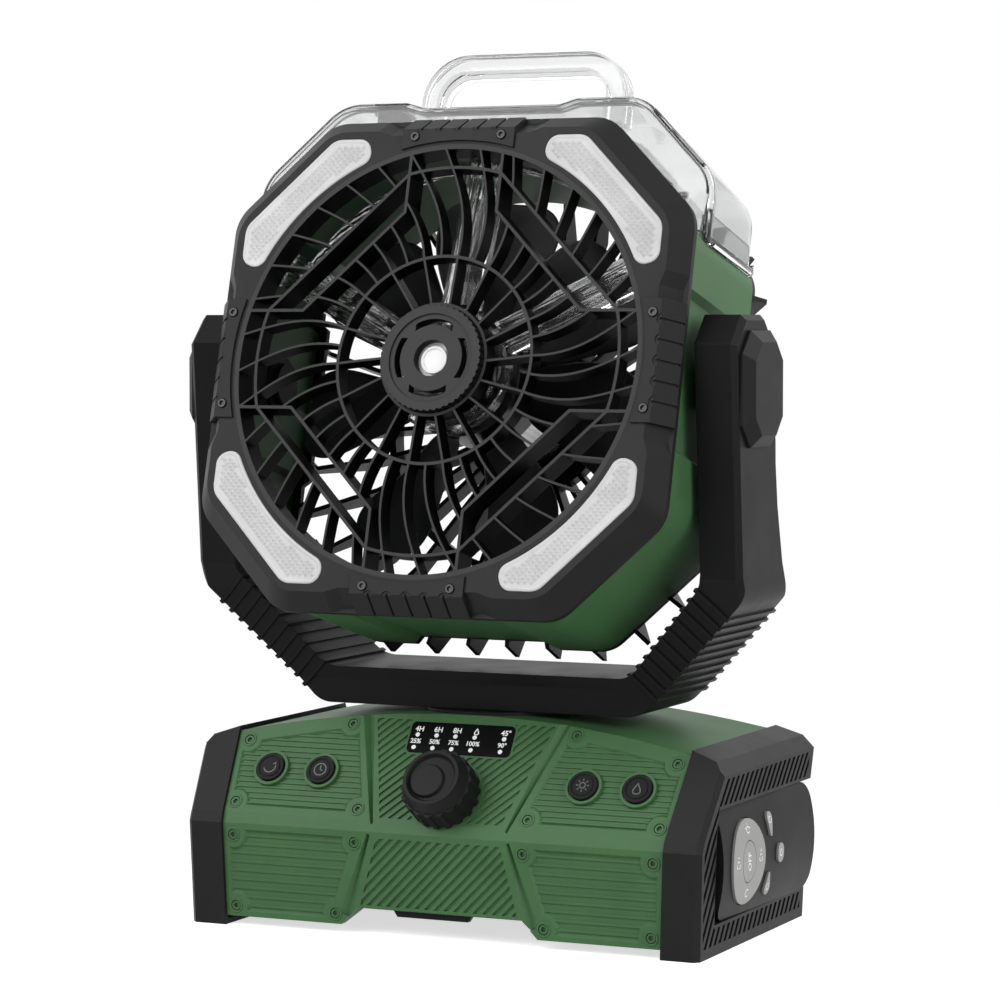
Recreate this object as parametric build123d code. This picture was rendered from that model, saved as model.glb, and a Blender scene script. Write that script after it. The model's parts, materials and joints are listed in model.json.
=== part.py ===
from build123d import *
import os
from math import atan2, cos, degrees, hypot, pi, radians, sin, sqrt, tan

# Portable camping fan: battery base, oscillating yoke and tilting fan head with lamps and a clear water tank.
# Millimetres.  +X is the viewer's right when facing the fan, -Y is the front, +Z is up.
# The origin is on the surface the base stands on, on the swivel axis.

# ---------------------------------------------------------------- clearances
RUNNING = 0.05          # radial gap of a shaft in its bore
SLIDING = 0.3           # gap between parts that move past each other
SEAT = 0.3              # gap between curved faces of parts that touch

# ---------------------------------------------------------------- base
WALL = 2.4              # moulded wall of the base parts
BASE_WIDTH = 230.0      # over the end caps, at their widest
CAP_FOOT_X = 111.3      # half width of the end caps at the table
CAP_RIDGE_X = 112.7
CAP_SHOULDER_X = 111.1
CAP_SHOULDER_Z = 75.3
CAP_WIDE_Z = 69.9
SEAM_FOOT_X = 95.4      # seam between housing and cap
SEAM_RIDGE_X = 97.0
SEAM_TOP_X = 100.0
CAP_TOP_Z = 79.0
FRONT_FOOT_Y = -57.4
RIDGE_Y = -58.4
RIDGE_LOW_Z = 41.9
RIDGE_HIGH_Z = 46.3
SLOPE_FOOT_Y = -56.8    # where the sloping front starts, at the ridge's upper edge
SLOPE_ANGLE = 33.04     # of the sloping front, from vertical
BACK_FOOT_Y = 57.0
BACK_WIDE_Y = 60.4
BACK_WIDE_Z = 70.0
BACK_TOP_Y = 55.5
HOUSING_FOOT_Z = 3.7
ARCH_TOP_Z = 87.4       # top of the arched housing
ARCH_END_Z = 77.0       # where the arch meets the end caps
NOTCH_TOP_X = 36.4      # raised middle of the housing's lower front edge
NOTCH_FOOT_X = 46.7
NOTCH_WEB = 12.0        # depth of the slanting web behind each end of the raised edge
NOTCH_WEB_THICK = 2.0
NOTCH_Z = 10.9
PLATE_Z = 10.9          # underside of the bottom plate
PLATE_THICK = 2.5
LIP_HALF = 18.2         # tab of the bottom plate under the raised front edge
LIP_X = -3.5
LIP_SLANT = 2.6
LIP_DROP = 2.9
PAD_SIZE = (13.0, 26.0, 4.0)
PAD_PLACE = (82.0, 25.0)
PLATE_FRONT_Y = -46.5
TONGUE_HALF = 30.0
CENTRE_PAD = (44.0, 24.0)
CENTRE_PAD_Y = 11.0

SCREW_HEAD_R = 1.9
SCREW_HEAD_H = 1.4
SCREW_SHANK_R = 1.1
SCREW_SHANK_L = 7.0
SCREW_SOCKET = 2.4      # across the corners of the hexagon
BOSS_R = 3.0            # raised ring round a screw
BOSS_PROUD = 0.3
POST_R = 3.4            # of the screw posts inside the wall
UPPER_SCREWS = ((94.7, 73.6), (49.7, 81.8), (93.2, 50.2), (37.4, 50.2))
LOWER_SCREWS = ((92.2, 37.1), (37.0, 37.2), (91.2, 8.0), (45.8, 8.0))
GROOVE_DEPTH = 0.8
PANEL_DEPTH = 1.0       # of the recessed panels with ribbed floors
PANEL_RIB_HEIGHT = 0.5
PANEL_ROUND = 5.2       # the panels pass round the screws in arcs of this radius
UPPER_PANEL = ((34.8, 49.0), (94.9, 49.0), (97.1, 72.7), (46.5, 81.2))
LOWER_PANEL = ((48.4, 5.9), (93.6, 5.9), (94.3, 39.4), (36.9, 39.4))
UPPER_CENTRE = ((26.6, 47.6), (39.4, 84.6))
LOWER_CENTRE = ((34.4, 12.2), (27.2, 39.4))
# V-shaped grooves: tip, its width, wide end, its width
SLOPE_BLADE = ((29.5, 45.2), 1.2, (44.1, 87.0), 5.0)
LOWER_BLADE = ((30.6, 41.0), 1.4, (41.0, 7.4), 5.6)
BLADE_DEPTH = 1.7
UPPER_RIB = (0.9, 2.4)  # width and pitch of the upper panels' ribs
LOWER_RIB = (1.1, 3.6)
DIAGONAL_GAP = 1.4
DIAGONAL_PITCH = 3.0
CAP_PROUD = 1.6         # the caps stand this far out of the housing along the seam
CAP_BEVEL = 2.0
FOOT_RAIL = (2.4, 102.0, 3.6)  # ridged rail along each cap's inner foot
FOOT_RIDGES = (26, 3.8, 0.8)    # number, pitch and depth of its grooves
CELL_R = 9.2
CELL_LENGTH = 65.0
CELL_X = 57.0
CELL_Y = (-22.0, -2.0, 18.0)
CRADLE_END = 3.0        # end plates of the battery holder
PORT_SIZE = (12.0, 7.4)
PORT_X = 55.0
PORT_Z = 40.0

# ---------------------------------------------------------------- knob, buttons, label
KNOB_Z = 57.0
KNOB_R = 15.0
KNOB_TOP_R = 11.8
KNOB_DISH_R = 10.4
KNOB_DISH_DEPTH = 1.7
KNOB_DISC_R = 6.6
KNOB_DISC_PLACE = (-1.6, -1.2)
KNOB_H = 16.5
KNOB_SKIRT_H = 11.0
KNOB_FLUTES = 18
KNOB_LIFT = 0.6         # gap between knob and housing
POT_SHAFT_R = 3.0
POT_SIZE = (17.0, 17.0, 9.0)
BOARD_DEPTH = 16.0      # of the control board, under the sloping front
BOARD_THICK = 1.6
BOARD_SIZE = (180.0, 24.0)
BOARD_Z = 58.0
BOARD_POSTS = ((-68.0, 52.0), (-30.0, 66.0), (30.0, 66.0), (68.0, 52.0))
SWITCH_SIZE = (6.2, 6.2, 3.4)
BUTTON_X = (-81.0, -57.9, 57.9, 81.0)
BUTTON_Z = 63.3
BUTTON_R = 5.9
BUTTON_PROUD = 1.7
BUTTON_TRAVEL = 0.8
BUTTON_RING_R = 7.7
BUTTON_RING_H = 0.9
BUTTON_STEM_R = 2.2
BUTTON_FLANGE_R = 7.0
LABEL_SIZE = (45.6, 13.6)
LABEL_Z = 78.1
LABEL_THICK = 0.8

# ---------------------------------------------------------------- remote control and its cradle
REMOTE_LENGTH = 97.0
REMOTE_HEIGHT = 44.4
REMOTE_EDGE = 7.6       # thickness at the long edges
REMOTE_BULGE = 3.8      # extra thickness along the middle
REMOTE_PLACE = (104.4, 8.75, 34.6)
REMOTE_YAW = 1.65       # the remote stands further out towards the back
REMOTE_CORNER = 7.0
REMOTE_WALL = 1.5
REMOTE_SPLIT = 4.4
CRADLE_WALL = 2.0
CRADLE_FRONT_GAP = 3.0
RING_KEY_Y = -23.9      # along the remote, from its middle
RING_KEY_Z = -1.2
RING_KEY_SIZE = (16.5, 17.0)
CENTRE_KEY_SIZE = (6.7, 8.2)
SMALL_KEYS = (           # place, radii of the upper and lower ends, and their distance
    ((-0.2, 9.9), 2.5, 0.8, 6.6), ((9.4, -2.1), 2.9, 2.9, 2.1), ((-1.8, -12.1), 0.8, 2.7, 5.8),
)
KEY_PROUD = 0.9
SLAT_PITCH = 4.4
SLAT_GAP = 2.2
SLAT_ANGLE = 56.0
SLAT_DEPTH = 3.0
SLAT_BAND = (1.4, 68.6)

# ---------------------------------------------------------------- yoke
YOKE_X = 120.0          # half width over the arms
ARM_THICK = 17.0
ARM_TOP_Z = 248.3
ARM_CORNER_Z = 141.0    # where the arm starts to turn inwards
YOKE_FOOT_Z = 88.7
YOKE_BAR_THICK = 15.3
BAR_CORNER_X = 71.0     # where the sloping corner meets the underside of the bar
CORNER_BLEND = 12.0
YOKE_CHAMFER = 2.2
ARM_FRONT = ((-44.0, 237.0), (-37.0, 146.0), (-32.5, 135.5), (-21.5, 99.0))
ARM_BACK = ((33.0, 99.0), (17.5, 137.5), (11.2, 151.0), (5.5, 173.0), (3.2, 190.0), (3.0, 199.0), (-6.0, 243.0))
ARM_TOP = ((-11.5, 248.3), (-33.0, 248.3))
RIB_COUNT = 10
RIB_PITCH = 5.3
RIB_WIDTH = 1.6
RIB_HEIGHT = 0.9
POD_DEPTH = 39.4        # pivot cover, front to back
POD_HEIGHT = 45.4
POD_CUT = 9.0
POD_BEVEL = 4.6
POD_X = 125.0
POD_Y = -19.7
PIVOT_BOSS_R = 17.0
PIVOT_BOSS = 2.4        # the bosses stand this far in from the arms
PIN_R = 5.0
PIN_HEAD_R = 9.0
PIN_HEAD_H = 3.0
PIN_END_X = 90.0
HUB_R = 12.0            # of the head's pivot hubs
HUB_END_X = 88.0
COLLAR_R = 29.0
COLLAR_Z = 85.8         # seat of the swivel collar in the housing's top
COLLAR_TOP_Z = 88.4
BEARING_R = 14.0
BEARING_LOW_Z = 75.0
SPINDLE_R = 11.0
SPINDLE_BORE_R = 6.5
GEAR_TEETH = 48
PINION_TEETH = 12
GEAR_MODULE = 1.0
GEAR_THICK = 5.0
GEAR_Z = 70.0
GEARMOTOR_SIZE = (24.0, 24.0, 22.0)
GEARMOTOR_TOP_Z = 66.0
GEARMOTOR_SHAFT_R = 2.5

# ---------------------------------------------------------------- head (x, depth behind the bezel's front, height)
PIVOT_Y = -19.4
PIVOT_Z = 219.5
PIVOT_DEPTH = 43.4      # of the tilt axis, behind the bezel's front
TILT = 15.07            # the head leans back this much at rest
BEZEL_HALF = 94.3
BEZEL_SUM = 150.6       # x + z along the sloping corners, at the front
BEZEL_FLARE = 6.6
BEZEL_SKIRT = 9.0
BEZEL_DEPTH = 12.0
BEZEL_PLATE = 3.0
BEZEL_WALL = 2.4
BEZEL_BORE_R = 88.4
CORNER_R = 16.0
NOTCH_IN = 2.0
NOTCH_HALF = 30.0
NOTCH_SLOPE = 6.0
BEZEL_DUCT = 1.8        # wall of the round duct in the bezel
LENS_INSET = 3.1
LENS_GAP = 0.15
LENS_LEDGE = 1.2
LENS_END = 40.0
LENS_CORNER = 8.0
LENS_END_R = 5.3
LENS_HEIGHT = 2.6
LENS_INNER_R = 90.3
CLIP_HALF = 24.5
CLIP_FACE = 8.0
CLIP_PROUD = 1.0
CLIP_LOBES = 6
CLIP_SCREW_X = 91.4
CLIP_SCREW_Z = 18.9
CLIP_SCREW_DEEP = 4.6
CLIP_SCREW_SCALE = 0.92  # clip screws against the panel screws
CLIP_SCREW_SHANK = 4.0
CLIP_SCALLOP_R = 2.2
CLIP_SCALLOP_DEPTH = 0.5
CLIP_LEDGE = 0.4        # clip left under a screw's head
LENS_THICK = 2.2
LAMP_BOARD_INSET = 0.6
LAMP_BOARD_THICK = 1.4
LAMP_RADIUS = 97.0      # of the row of lamps, round the duct
LAMP_SIZE = 2.8
LAMP_ANGLES = (-14, -7, 0, 7, 14)
SHELL_HALF = 100.0
SHELL_SUM = 154.6
SHELL_NOTCH = 3.0       # shallow recess along the middle of the right, left and lower flats
SHELL_NOTCH_HALF = 30.0
SHELL_NOTCH_SLOPE = 3.0
SHELL_BACK = 79.0
SHELL_WALL = 2.2
COLLAR_BACK = 24.0      # back of the shell's closed front collar
DUCT_R = 88.0
TANK_LEDGE_W = 54.5
GRILLE_RIB = 1.0
GRILLE_DEPTH = 8.0
GRILLE_RIM_IN_R = 86.2
INNER_RING_R = 42.0
GRILLE_SWIRL = (         # radius and turn of the curved ribs
    (21.8, -3.7), (32.0, -1.4), (42.0, 0.0), (52.0, 0.6), (62.0, 2.9), (76.5, 7.7), (87.4, 11.1),
)
RING_WIDTH = 1.3
STRIP_WIDTH = 1.3       # of the grille's straight strips
OUTER_RING_R = 78.6
CROSS_HALF = 20.0       # half width of the grille's cross-shaped frames
INNER_CORNER = 60.5
RIB_NUMBER = 36
RIB_PHASE = 7.5
HUB_RING_R = 21.8
HUB_DISC_R = 17.8
HUB_PROUD = 3.2
HUB_BORE_R = 7.3
NOZZLE_R = 5.6
NOZZLE_BORE_R = 2.0
NOZZLE_FRONT = 0.4
NOZZLE_FACE = 0.8       # thin mist disc in front of the nozzle's bore
BAND_WIDTH = 15.6       # between the grille's inner and outer slanting strips
STRIP_DEPTH = 12.0
KNURL_NUMBER = 48
HUB_SLOT_R = 14.6
HUB_SLOT_WIDTH = 2.4
HUB_SLOT_LENGTH = 16.0
MANIFOLD_FRONT = 12.3
MANIFOLD_DEEP = 6.5
MANIFOLD_R = 26.0
MANIFOLD_ARM = 15.0
MANIFOLD_WALL = 1.2
MANIFOLD_ANGLES = (5.0, 63.0, -62.0)
FAN_FRONT = 30.0
FAN_CUP = 2.4
BLADE_THICK = 2.6
BLADE_SECTIONS = (      # radius, chord, pitch, sideways shift
    (22.5, 20.0, 48.0, 0.0), (40.0, 37.0, 36.0, 1.5), (56.0, 48.0, 30.0, 4.0), (68.0, 48.0, 26.0, 6.0),
)
FAN_DEPTH = 24.0
FAN_HUB_R = 24.0
FAN_TIP_R = 76.0
FAN_PHASE = -3.0
FAN_BLADES = 7
MOTOR_R = 20.5
MOTOR_FRONT = 57.0
SHAFT_R = 2.5
SHAFT_END = 70.0
REAR_PLATE_R = 32.0
REAR_PLATE_THICK = 6.0
REAR_RING_R = 65.0
REAR_HALF = 78.0
REAR_SUM = 122.0
FIN_DEEP = 9.0
FRAME_WIDTH = 6.0
FIN_NUMBER = 36
FIN_THICK = 1.8
FIN_REACH_HALF = 102.4
FIN_REACH_SUM = 161.0
REAR_DEPTH = 108.0

# ---------------------------------------------------------------- water tank with handle
TANK_HALF = 100.4
TANK_SUM = 182.0
TANK_TOP = 115.0
TANK_DIP = 2.4
TANK_FRONT = 24.4
TANK_BACK = 78.6
TANK_WALL = 2.2
HANDLE_DEPTH = 59.5
HANDLE_THICK = 12.0
HANDLE_OUT = (46.6, 145.0)
HANDLE_IN = (36.6, 136.0)
HANDLE_CORNER = 20.0
HANDLE_INNER_CORNER = 12.0
HANDLE_GROOVE = 1.2
FILLER_R = 7.0
FILLER_PLACE = (-50.0, 40.0)
VALVE_R = 4.5
VALVE_PLACE = (86.0, 52.0)
TANK_GAP = 0.3
TANK_CORNER = 20.0
DIP_HALF = 30.0
DIP_SLOPE = 8.0


# ================================================================ drawing helpers
def front_slab(sketch, front, back):
    """Solid of a sketch drawn as seen from the front (x, z), from depth front to depth back along +Y."""
    return Rot(90, 0, 0) * (Pos(0, 0, -back) * extrude(sketch, amount=back - front))


def side_slab(sketch, low_x, high_x):
    """Solid of a sketch drawn as seen from the right side (y, z), between two x."""
    return Pos(low_x, 0, 0) * extrude(Plane.YZ * sketch, amount=high_x - low_x)


def face(points):
    return make_face(Polyline(*points, close=True))


def mirrored(points):
    return [(-x, z) for x, z in reversed(points)]


def both_sides(shape):
    return [shape, mirror(shape, Plane.YZ)]


def group(shapes):
    return Compound(children=list(shapes))


def write(node, shape):
    export_step(shape, f"parts/{node}.step")


def rod(radius, low, high):
    """Round bar along Z."""
    return Pos(0, 0, low) * extrude(Circle(radius), amount=high - low)


def tube(radius, bore, low, high):
    return Pos(0, 0, low) * extrude(Circle(radius) - Circle(bore), amount=high - low)


def along_y(shape):
    """Turns a shape made along +Z to run along +Y."""
    return Rot(-90, 0, 0) * shape


def along_x(shape):
    """Turns a shape made along +Z to run along +X."""
    return Rot(0, 90, 0) * shape


def screw(length=SCREW_SHANK_L):
    """Hex socket screw, its head's top at z = 0 and its shank down."""
    head = rod(SCREW_HEAD_R, -SCREW_HEAD_H, 0)
    socket = Pos(0, 0, -1.1) * extrude(RegularPolygon(SCREW_SOCKET / 2, 6), amount=2)
    return head - socket + rod(SCREW_SHANK_R, -SCREW_HEAD_H - length, -SCREW_HEAD_H)


def screw_pocket(length=SCREW_SHANK_L):
    """Space for screw(): counterbore and pilot hole."""
    deep = SCREW_HEAD_H + length + SLIDING
    return rod(SCREW_HEAD_R + SEAT, -SCREW_HEAD_H, 5) + rod(SCREW_SHANK_R, -deep, 0)


# ================================================================ outlines of the base
def seam_x(z):
    """The seam between housing and cap leans out a little, more so above the ridge."""
    if z < RIDGE_HIGH_Z:
        return SEAM_FOOT_X + (SEAM_RIDGE_X - SEAM_FOOT_X) * z / RIDGE_HIGH_Z
    rise = (z - RIDGE_HIGH_Z) / (ARCH_END_Z - RIDGE_HIGH_Z)
    return SEAM_RIDGE_X + (SEAM_TOP_X - SEAM_RIDGE_X) * rise


def housing_front(foot):
    """Housing seen from the front: leaning seams under an arched top."""
    seam = [(seam_x(foot), foot), (SEAM_RIDGE_X, RIDGE_HIGH_Z), (SEAM_TOP_X, ARCH_END_Z)]
    arch = ThreePointArc(seam[-1], (0, ARCH_TOP_Z), (-SEAM_TOP_X, ARCH_END_Z))
    bottom = Line((-seam_x(foot), foot), seam[0])
    return make_face(Polyline(*seam) + arch + Polyline(*mirrored(seam)) + bottom)


def base_side(proud=0.0, foot=0.0, top=95.0):
    """Base seen from the side (y, z): upright foot, ridge facet, sloping front, nearly upright back."""
    slope_top_y = SLOPE_FOOT_Y + (top - RIDGE_HIGH_Z) * tan(radians(SLOPE_ANGLE))
    return face([
        (FRONT_FOOT_Y - proud, foot),
        (RIDGE_Y - proud, RIDGE_LOW_Z),
        (SLOPE_FOOT_Y - proud, RIDGE_HIGH_Z),
        (slope_top_y - proud, top),
        (BACK_TOP_Y - 6 + proud, top),
        (BACK_TOP_Y + proud, CAP_TOP_Z),
        (BACK_WIDE_Y + proud, BACK_WIDE_Z),
        (BACK_FOOT_Y + proud, foot),
    ])


def slope_plane():
    """Plane of the sloping front, x across and y up the slope, its origin on the ridge."""
    a = radians(SLOPE_ANGLE)
    return Plane((0, SLOPE_FOOT_Y, RIDGE_HIGH_Z), x_dir=(1, 0, 0), z_dir=(0, -cos(a), sin(a)))


def lower_plane():
    """Plane of the front below the ridge, y up."""
    a = atan2(FRONT_FOOT_Y - RIDGE_Y, RIDGE_LOW_Z)
    return Plane((0, FRONT_FOOT_Y, 0), x_dir=(1, 0, 0), z_dir=(0, -cos(a), -sin(a)))


def on_slope(x, z, shape):
    """Sets a shape, drawn with +Z outwards, on the sloping front at height z."""
    rise = (z - RIDGE_HIGH_Z) / cos(radians(SLOPE_ANGLE))
    return slope_plane().location * Pos(x, rise, 0) * shape


def on_lower_front(x, z, shape):
    return lower_plane().location * Pos(x, z, 0) * shape


def slope_points(points):
    """Turns (x, z) points seen from the front into points on the slope."""
    stretch = 1 / cos(radians(SLOPE_ANGLE))
    return [(x, (z - RIDGE_HIGH_Z) * stretch) for x, z in points]


def stripes(region, angle, pitch, width):
    """Parallel bars that fill a region."""
    box = region.bounding_box()
    centre = box.center()
    reach = hypot(box.size.X, box.size.Y) / 2 + pitch
    count = int(reach / pitch)
    place = Pos(centre.X, centre.Y) * Rot(0, 0, angle)
    bar = Rectangle(2 * reach, width)
    bars = Sketch() + [place * Pos(0, i * pitch) * bar for i in range(-count, count + 1)]
    return bars & region


def screw_places():
    """Function and place of each panel screw, on both halves of the base."""
    places = []
    for side in (-1, 1):
        places += [(on_slope, side * x, z) for x, z in UPPER_SCREWS]
        places += [(on_lower_front, side * x, z) for x, z in LOWER_SCREWS]
    return places


# ================================================================ base

def screw_rounds(places, spread):
    """Discs kept free round the screws of one front face."""
    return [Pos(side * x, spread(z)) * Circle(PANEL_ROUND) for side in (-1, 1) for x, z in places]


def recess(region, rib_width, rib_pitch):
    """Shallow recess with slanting edges, narrowing inwards from z = 0, with ribs left on its floor."""
    narrowing = mirror(extrude(region, amount=PANEL_DEPTH, taper=45), Plane.XY)
    cut = narrowing + extrude(region, amount=PANEL_DEPTH)
    ribs = extrude(stripes(region, 0, rib_pitch, rib_width), amount=PANEL_RIB_HEIGHT)
    return cut - Pos(0, 0, -PANEL_DEPTH) * ribs


def v_groove(tip, tip_width, end, end_width):
    """Groove with a V-shaped section that widens from its tip, along the plane z = 0."""
    above = 0.4
    sections = []
    across = (end[1] - tip[1], tip[0] - end[0], 0)
    along = (end[0] - tip[0], end[1] - tip[1], 0)
    for (x, y), width in ((tip, tip_width), (end, end_width)):
        half = width / 2 * (1 + above / BLADE_DEPTH)
        triangle = face([(-half, -above), (half, -above), (0, BLADE_DEPTH)])
        sections.append(Plane((x, y, 0), x_dir=across, z_dir=along) * triangle)
    return loft(sections, ruled=True)


def panel_cuts():
    """Relief of the front: recessed panels, diagonal grooves and V-shaped grooves between them."""
    on_top, below = slope_plane().location, lower_plane().location
    rings = [Pos(*slope_points([(x, BUTTON_Z)])[0]) * Circle(BUTTON_RING_R) for x in BUTTON_X]
    cuts = []
    for points in (UPPER_PANEL, mirrored(UPPER_PANEL)):
        rounds = screw_rounds(UPPER_SCREWS, lambda z: slope_points([(0, z)])[0][1])
        panel = face(slope_points(points)) - rounds
        kept = [extrude(ring, amount=3, both=True) for ring in rings]
        cuts.append(on_top * (recess(panel, *UPPER_RIB) - kept))
    for points in (LOWER_PANEL, mirrored(LOWER_PANEL)):
        panel = face(points) - screw_rounds(LOWER_SCREWS, lambda z: z)
        cuts.append(below * recess(panel, *LOWER_RIB))

    centre = face(slope_points(list(UPPER_CENTRE) + mirrored(UPPER_CENTRE)))
    knob_seat = Pos(*slope_points([(0, KNOB_Z)])[0]) * Circle(KNOB_R + 1)
    label_seat = RectangleRounded(LABEL_SIZE[0] + 2, LABEL_SIZE[1] + 2, 3)
    label_seat = Pos(*slope_points([(0, LABEL_Z)])[0]) * label_seat
    slope_grooves = stripes(centre, 45, DIAGONAL_PITCH, DIAGONAL_GAP) - knob_seat - label_seat
    lower_centre = face(list(LOWER_CENTRE) + mirrored(LOWER_CENTRE))
    lower_grooves = stripes(lower_centre, 45, DIAGONAL_PITCH, DIAGONAL_GAP)
    cuts.append(on_top * extrude(slope_grooves, amount=GROOVE_DEPTH, both=True))
    cuts.append(below * extrude(lower_grooves, amount=GROOVE_DEPTH, both=True))

    tip, tip_width, end, end_width = SLOPE_BLADE
    tip, end = slope_points([tip, end])
    blades = [on_top * blade for blade in both_sides(v_groove(tip, tip_width, end, end_width))]
    blades += [below * blade for blade in both_sides(v_groove(*LOWER_BLADE))]
    return cuts + blades


def notch_webs():
    """Slanting webs behind both ends of the raised front edge, deeper towards the top."""
    run = (NOTCH_FOOT_X - NOTCH_TOP_X) / NOTCH_Z
    foot_x = NOTCH_FOOT_X - run * HOUSING_FOOT_Z
    strip = face([
        (foot_x, HOUSING_FOOT_Z), (NOTCH_TOP_X, NOTCH_Z),
        (NOTCH_TOP_X + NOTCH_WEB_THICK, NOTCH_Z), (foot_x + NOTCH_WEB_THICK, HOUSING_FOOT_Z),
    ])
    start = FRONT_FOOT_Y + WALL / 2
    side = face([
        (start, HOUSING_FOOT_Z), (start + WALL, HOUSING_FOOT_Z), (start + NOTCH_WEB, NOTCH_Z), (start, NOTCH_Z),
    ])
    return both_sides(front_slab(strip, -80, -40) & side_slab(side, 0, 80))


def base_housing():
    """Green moulded housing, open below, with relief on its front."""
    outside = front_slab(housing_front(HOUSING_FOOT_Z), -80, 80) & side_slab(base_side(), -120, 120)
    inside = offset(housing_front(-20), -WALL)
    room = front_slab(inside, -80, 80) & side_slab(offset(base_side(foot=-20), -WALL), -120, 120)
    notch_side = [(NOTCH_FOOT_X, 0), (NOTCH_TOP_X, NOTCH_Z)]
    notch = face(notch_side + mirrored(notch_side))
    shell = outside - room - front_slab(notch, -80, -45)
    shell += notch_webs()
    for cut in panel_cuts():
        shell -= cut
    for place, x, z in screw_places():
        shell += place(x, z, rod(POST_R, -SCREW_HEAD_H - SCREW_SHANK_L - 1, -WALL / 2))
        shell += place(x, z, tube(BOSS_R, SCREW_HEAD_R, -WALL / 2, BOSS_PROUD))
        shell -= place(x, z, screw_pocket())
    for x in BUTTON_X:
        shell += on_slope(x, BUTTON_Z, tube(BUTTON_RING_R, BUTTON_R + 0.6, -WALL / 2, BUTTON_RING_H))
        shell -= on_slope(x, BUTTON_Z, rod(BUTTON_R + SLIDING / 2, -WALL - 1, BUTTON_RING_H + 1))
    shell -= on_slope(0, KNOB_Z, rod(POT_SHAFT_R + SLIDING, -WALL - 1, 1))
    label_seat = RectangleRounded(LABEL_SIZE[0] + 0.2, LABEL_SIZE[1] + 0.2, 2.2)
    shell -= on_slope(0, LABEL_Z, Pos(0, 0, -LABEL_THICK / 2) * extrude(label_seat, amount=2))
    shell -= rod(COLLAR_R + 0.2, COLLAR_Z, ARCH_TOP_Z + 5)
    shell += tube(BEARING_R + 3, BEARING_R, BEARING_LOW_Z, COLLAR_Z)
    shell -= rod(BEARING_R, BEARING_LOW_Z, ARCH_TOP_Z + 5)
    shell -= Pos(PORT_X, BACK_FOOT_Y, PORT_Z) * Box(PORT_SIZE[0] + 0.2, 20, PORT_SIZE[1] + 0.2)
    for x, z in BOARD_POSTS:
        shell += on_slope(x, z, rod(3, -BOARD_DEPTH, -WALL / 2))
    return shell


def bottom_plate():
    """Black plate that closes the housing, with feet bosses, a motor stand and a tab at the front."""
    inner = offset(housing_front(-20), -WALL)
    low, high = PLATE_Z, PLATE_Z + PLATE_THICK
    room = front_slab(inner, -80, 80) & side_slab(offset(base_side(foot=-20), -WALL), -120, 120)
    middle_z = (low + high) / 2
    plate = room & (Pos(0, PLATE_FRONT_Y + 75, middle_z) * Box(240, 150, PLATE_THICK))
    plate += room & (Pos(0, PLATE_FRONT_Y, middle_z) * Box(2 * TONGUE_HALF, 40, PLATE_THICK))
    front = FRONT_FOOT_Y + WALL
    lip = face([
        (LIP_SLANT - LIP_HALF, low - LIP_DROP), (LIP_HALF - LIP_SLANT, low - LIP_DROP),
        (LIP_HALF, low + 1), (-LIP_HALF, low + 1),
    ])
    plate += Pos(LIP_X, 0, 0) * front_slab(lip, front - 0.2, front + 2.2)
    for x in (-PAD_PLACE[0], PAD_PLACE[0]):
        for y in (-PAD_PLACE[1], PAD_PLACE[1]):
            block = Box(PAD_SIZE[0], PAD_SIZE[1], low - PAD_SIZE[2] + 1)
            plate += Pos(x, y, (PAD_SIZE[2] + low) / 2 + 0.5) * block
    plate += Pos(0, CENTRE_PAD_Y, (PAD_SIZE[2] + low) / 2 + 0.5) * Box(*CENTRE_PAD, low - PAD_SIZE[2] + 1)
    stand_top = GEARMOTOR_TOP_Z - GEARMOTOR_SIZE[2]
    stand = Rectangle(GEARMOTOR_SIZE[0], GEARMOTOR_SIZE[1])
    stand -= Rectangle(GEARMOTOR_SIZE[0] - 4, GEARMOTOR_SIZE[1] - 4)
    plate += Pos(0, gear_distance(), high - 0.5) * extrude(stand, amount=stand_top - high + 0.5)
    return plate


def rubber_feet():
    """Four corner pads and one in the middle, all on the table."""
    pads = []
    for x in (-PAD_PLACE[0], PAD_PLACE[0]):
        for y in (-PAD_PLACE[1], PAD_PLACE[1]):
            pad = extrude(RectangleRounded(PAD_SIZE[0], PAD_SIZE[1], 2), amount=PAD_SIZE[2])
            pads.append(Pos(x, y, 0) * pad)
    pads.append(Pos(0, CENTRE_PAD_Y, 0) * extrude(RectangleRounded(*CENTRE_PAD, 4), amount=PAD_SIZE[2]))
    return group(pads)


def cap_front(inset=0.0):
    """Right end cap seen from the front: seam on the left, leaning side, chamfered shoulder."""
    outer = [
        (CAP_FOOT_X - inset, -2 * inset),
        (CAP_RIDGE_X - inset, RIDGE_HIGH_Z),
        (BASE_WIDTH / 2 - inset, CAP_WIDE_Z),
        (CAP_SHOULDER_X - inset, CAP_SHOULDER_Z - inset / 2),
        (SEAM_TOP_X, CAP_TOP_Z - inset),
    ]
    seam = [(SEAM_TOP_X, ARCH_END_Z), (SEAM_RIDGE_X, RIDGE_HIGH_Z), (seam_x(-2 * inset), -2 * inset)]
    return face(outer + seam)


def cradle_room(margin):
    """Space of the remote's cradle in the right cap, open to the side and to the back."""
    length = REMOTE_LENGTH + CRADLE_FRONT_GAP + margin + 30
    block = Box(40, length, REMOTE_HEIGHT + 2 * (SLIDING + margin))
    block = Pos(20 - SLIDING - margin, length / 2 - REMOTE_LENGTH / 2 - CRADLE_FRONT_GAP - margin, 0) * block
    return in_remote(block)


def in_remote(shape):
    """Places a shape made in the remote's own frame: x out of the cradle, y along it, z up."""
    return Pos(*REMOTE_PLACE) * Rot(0, 0, -REMOTE_YAW) * shape


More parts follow.
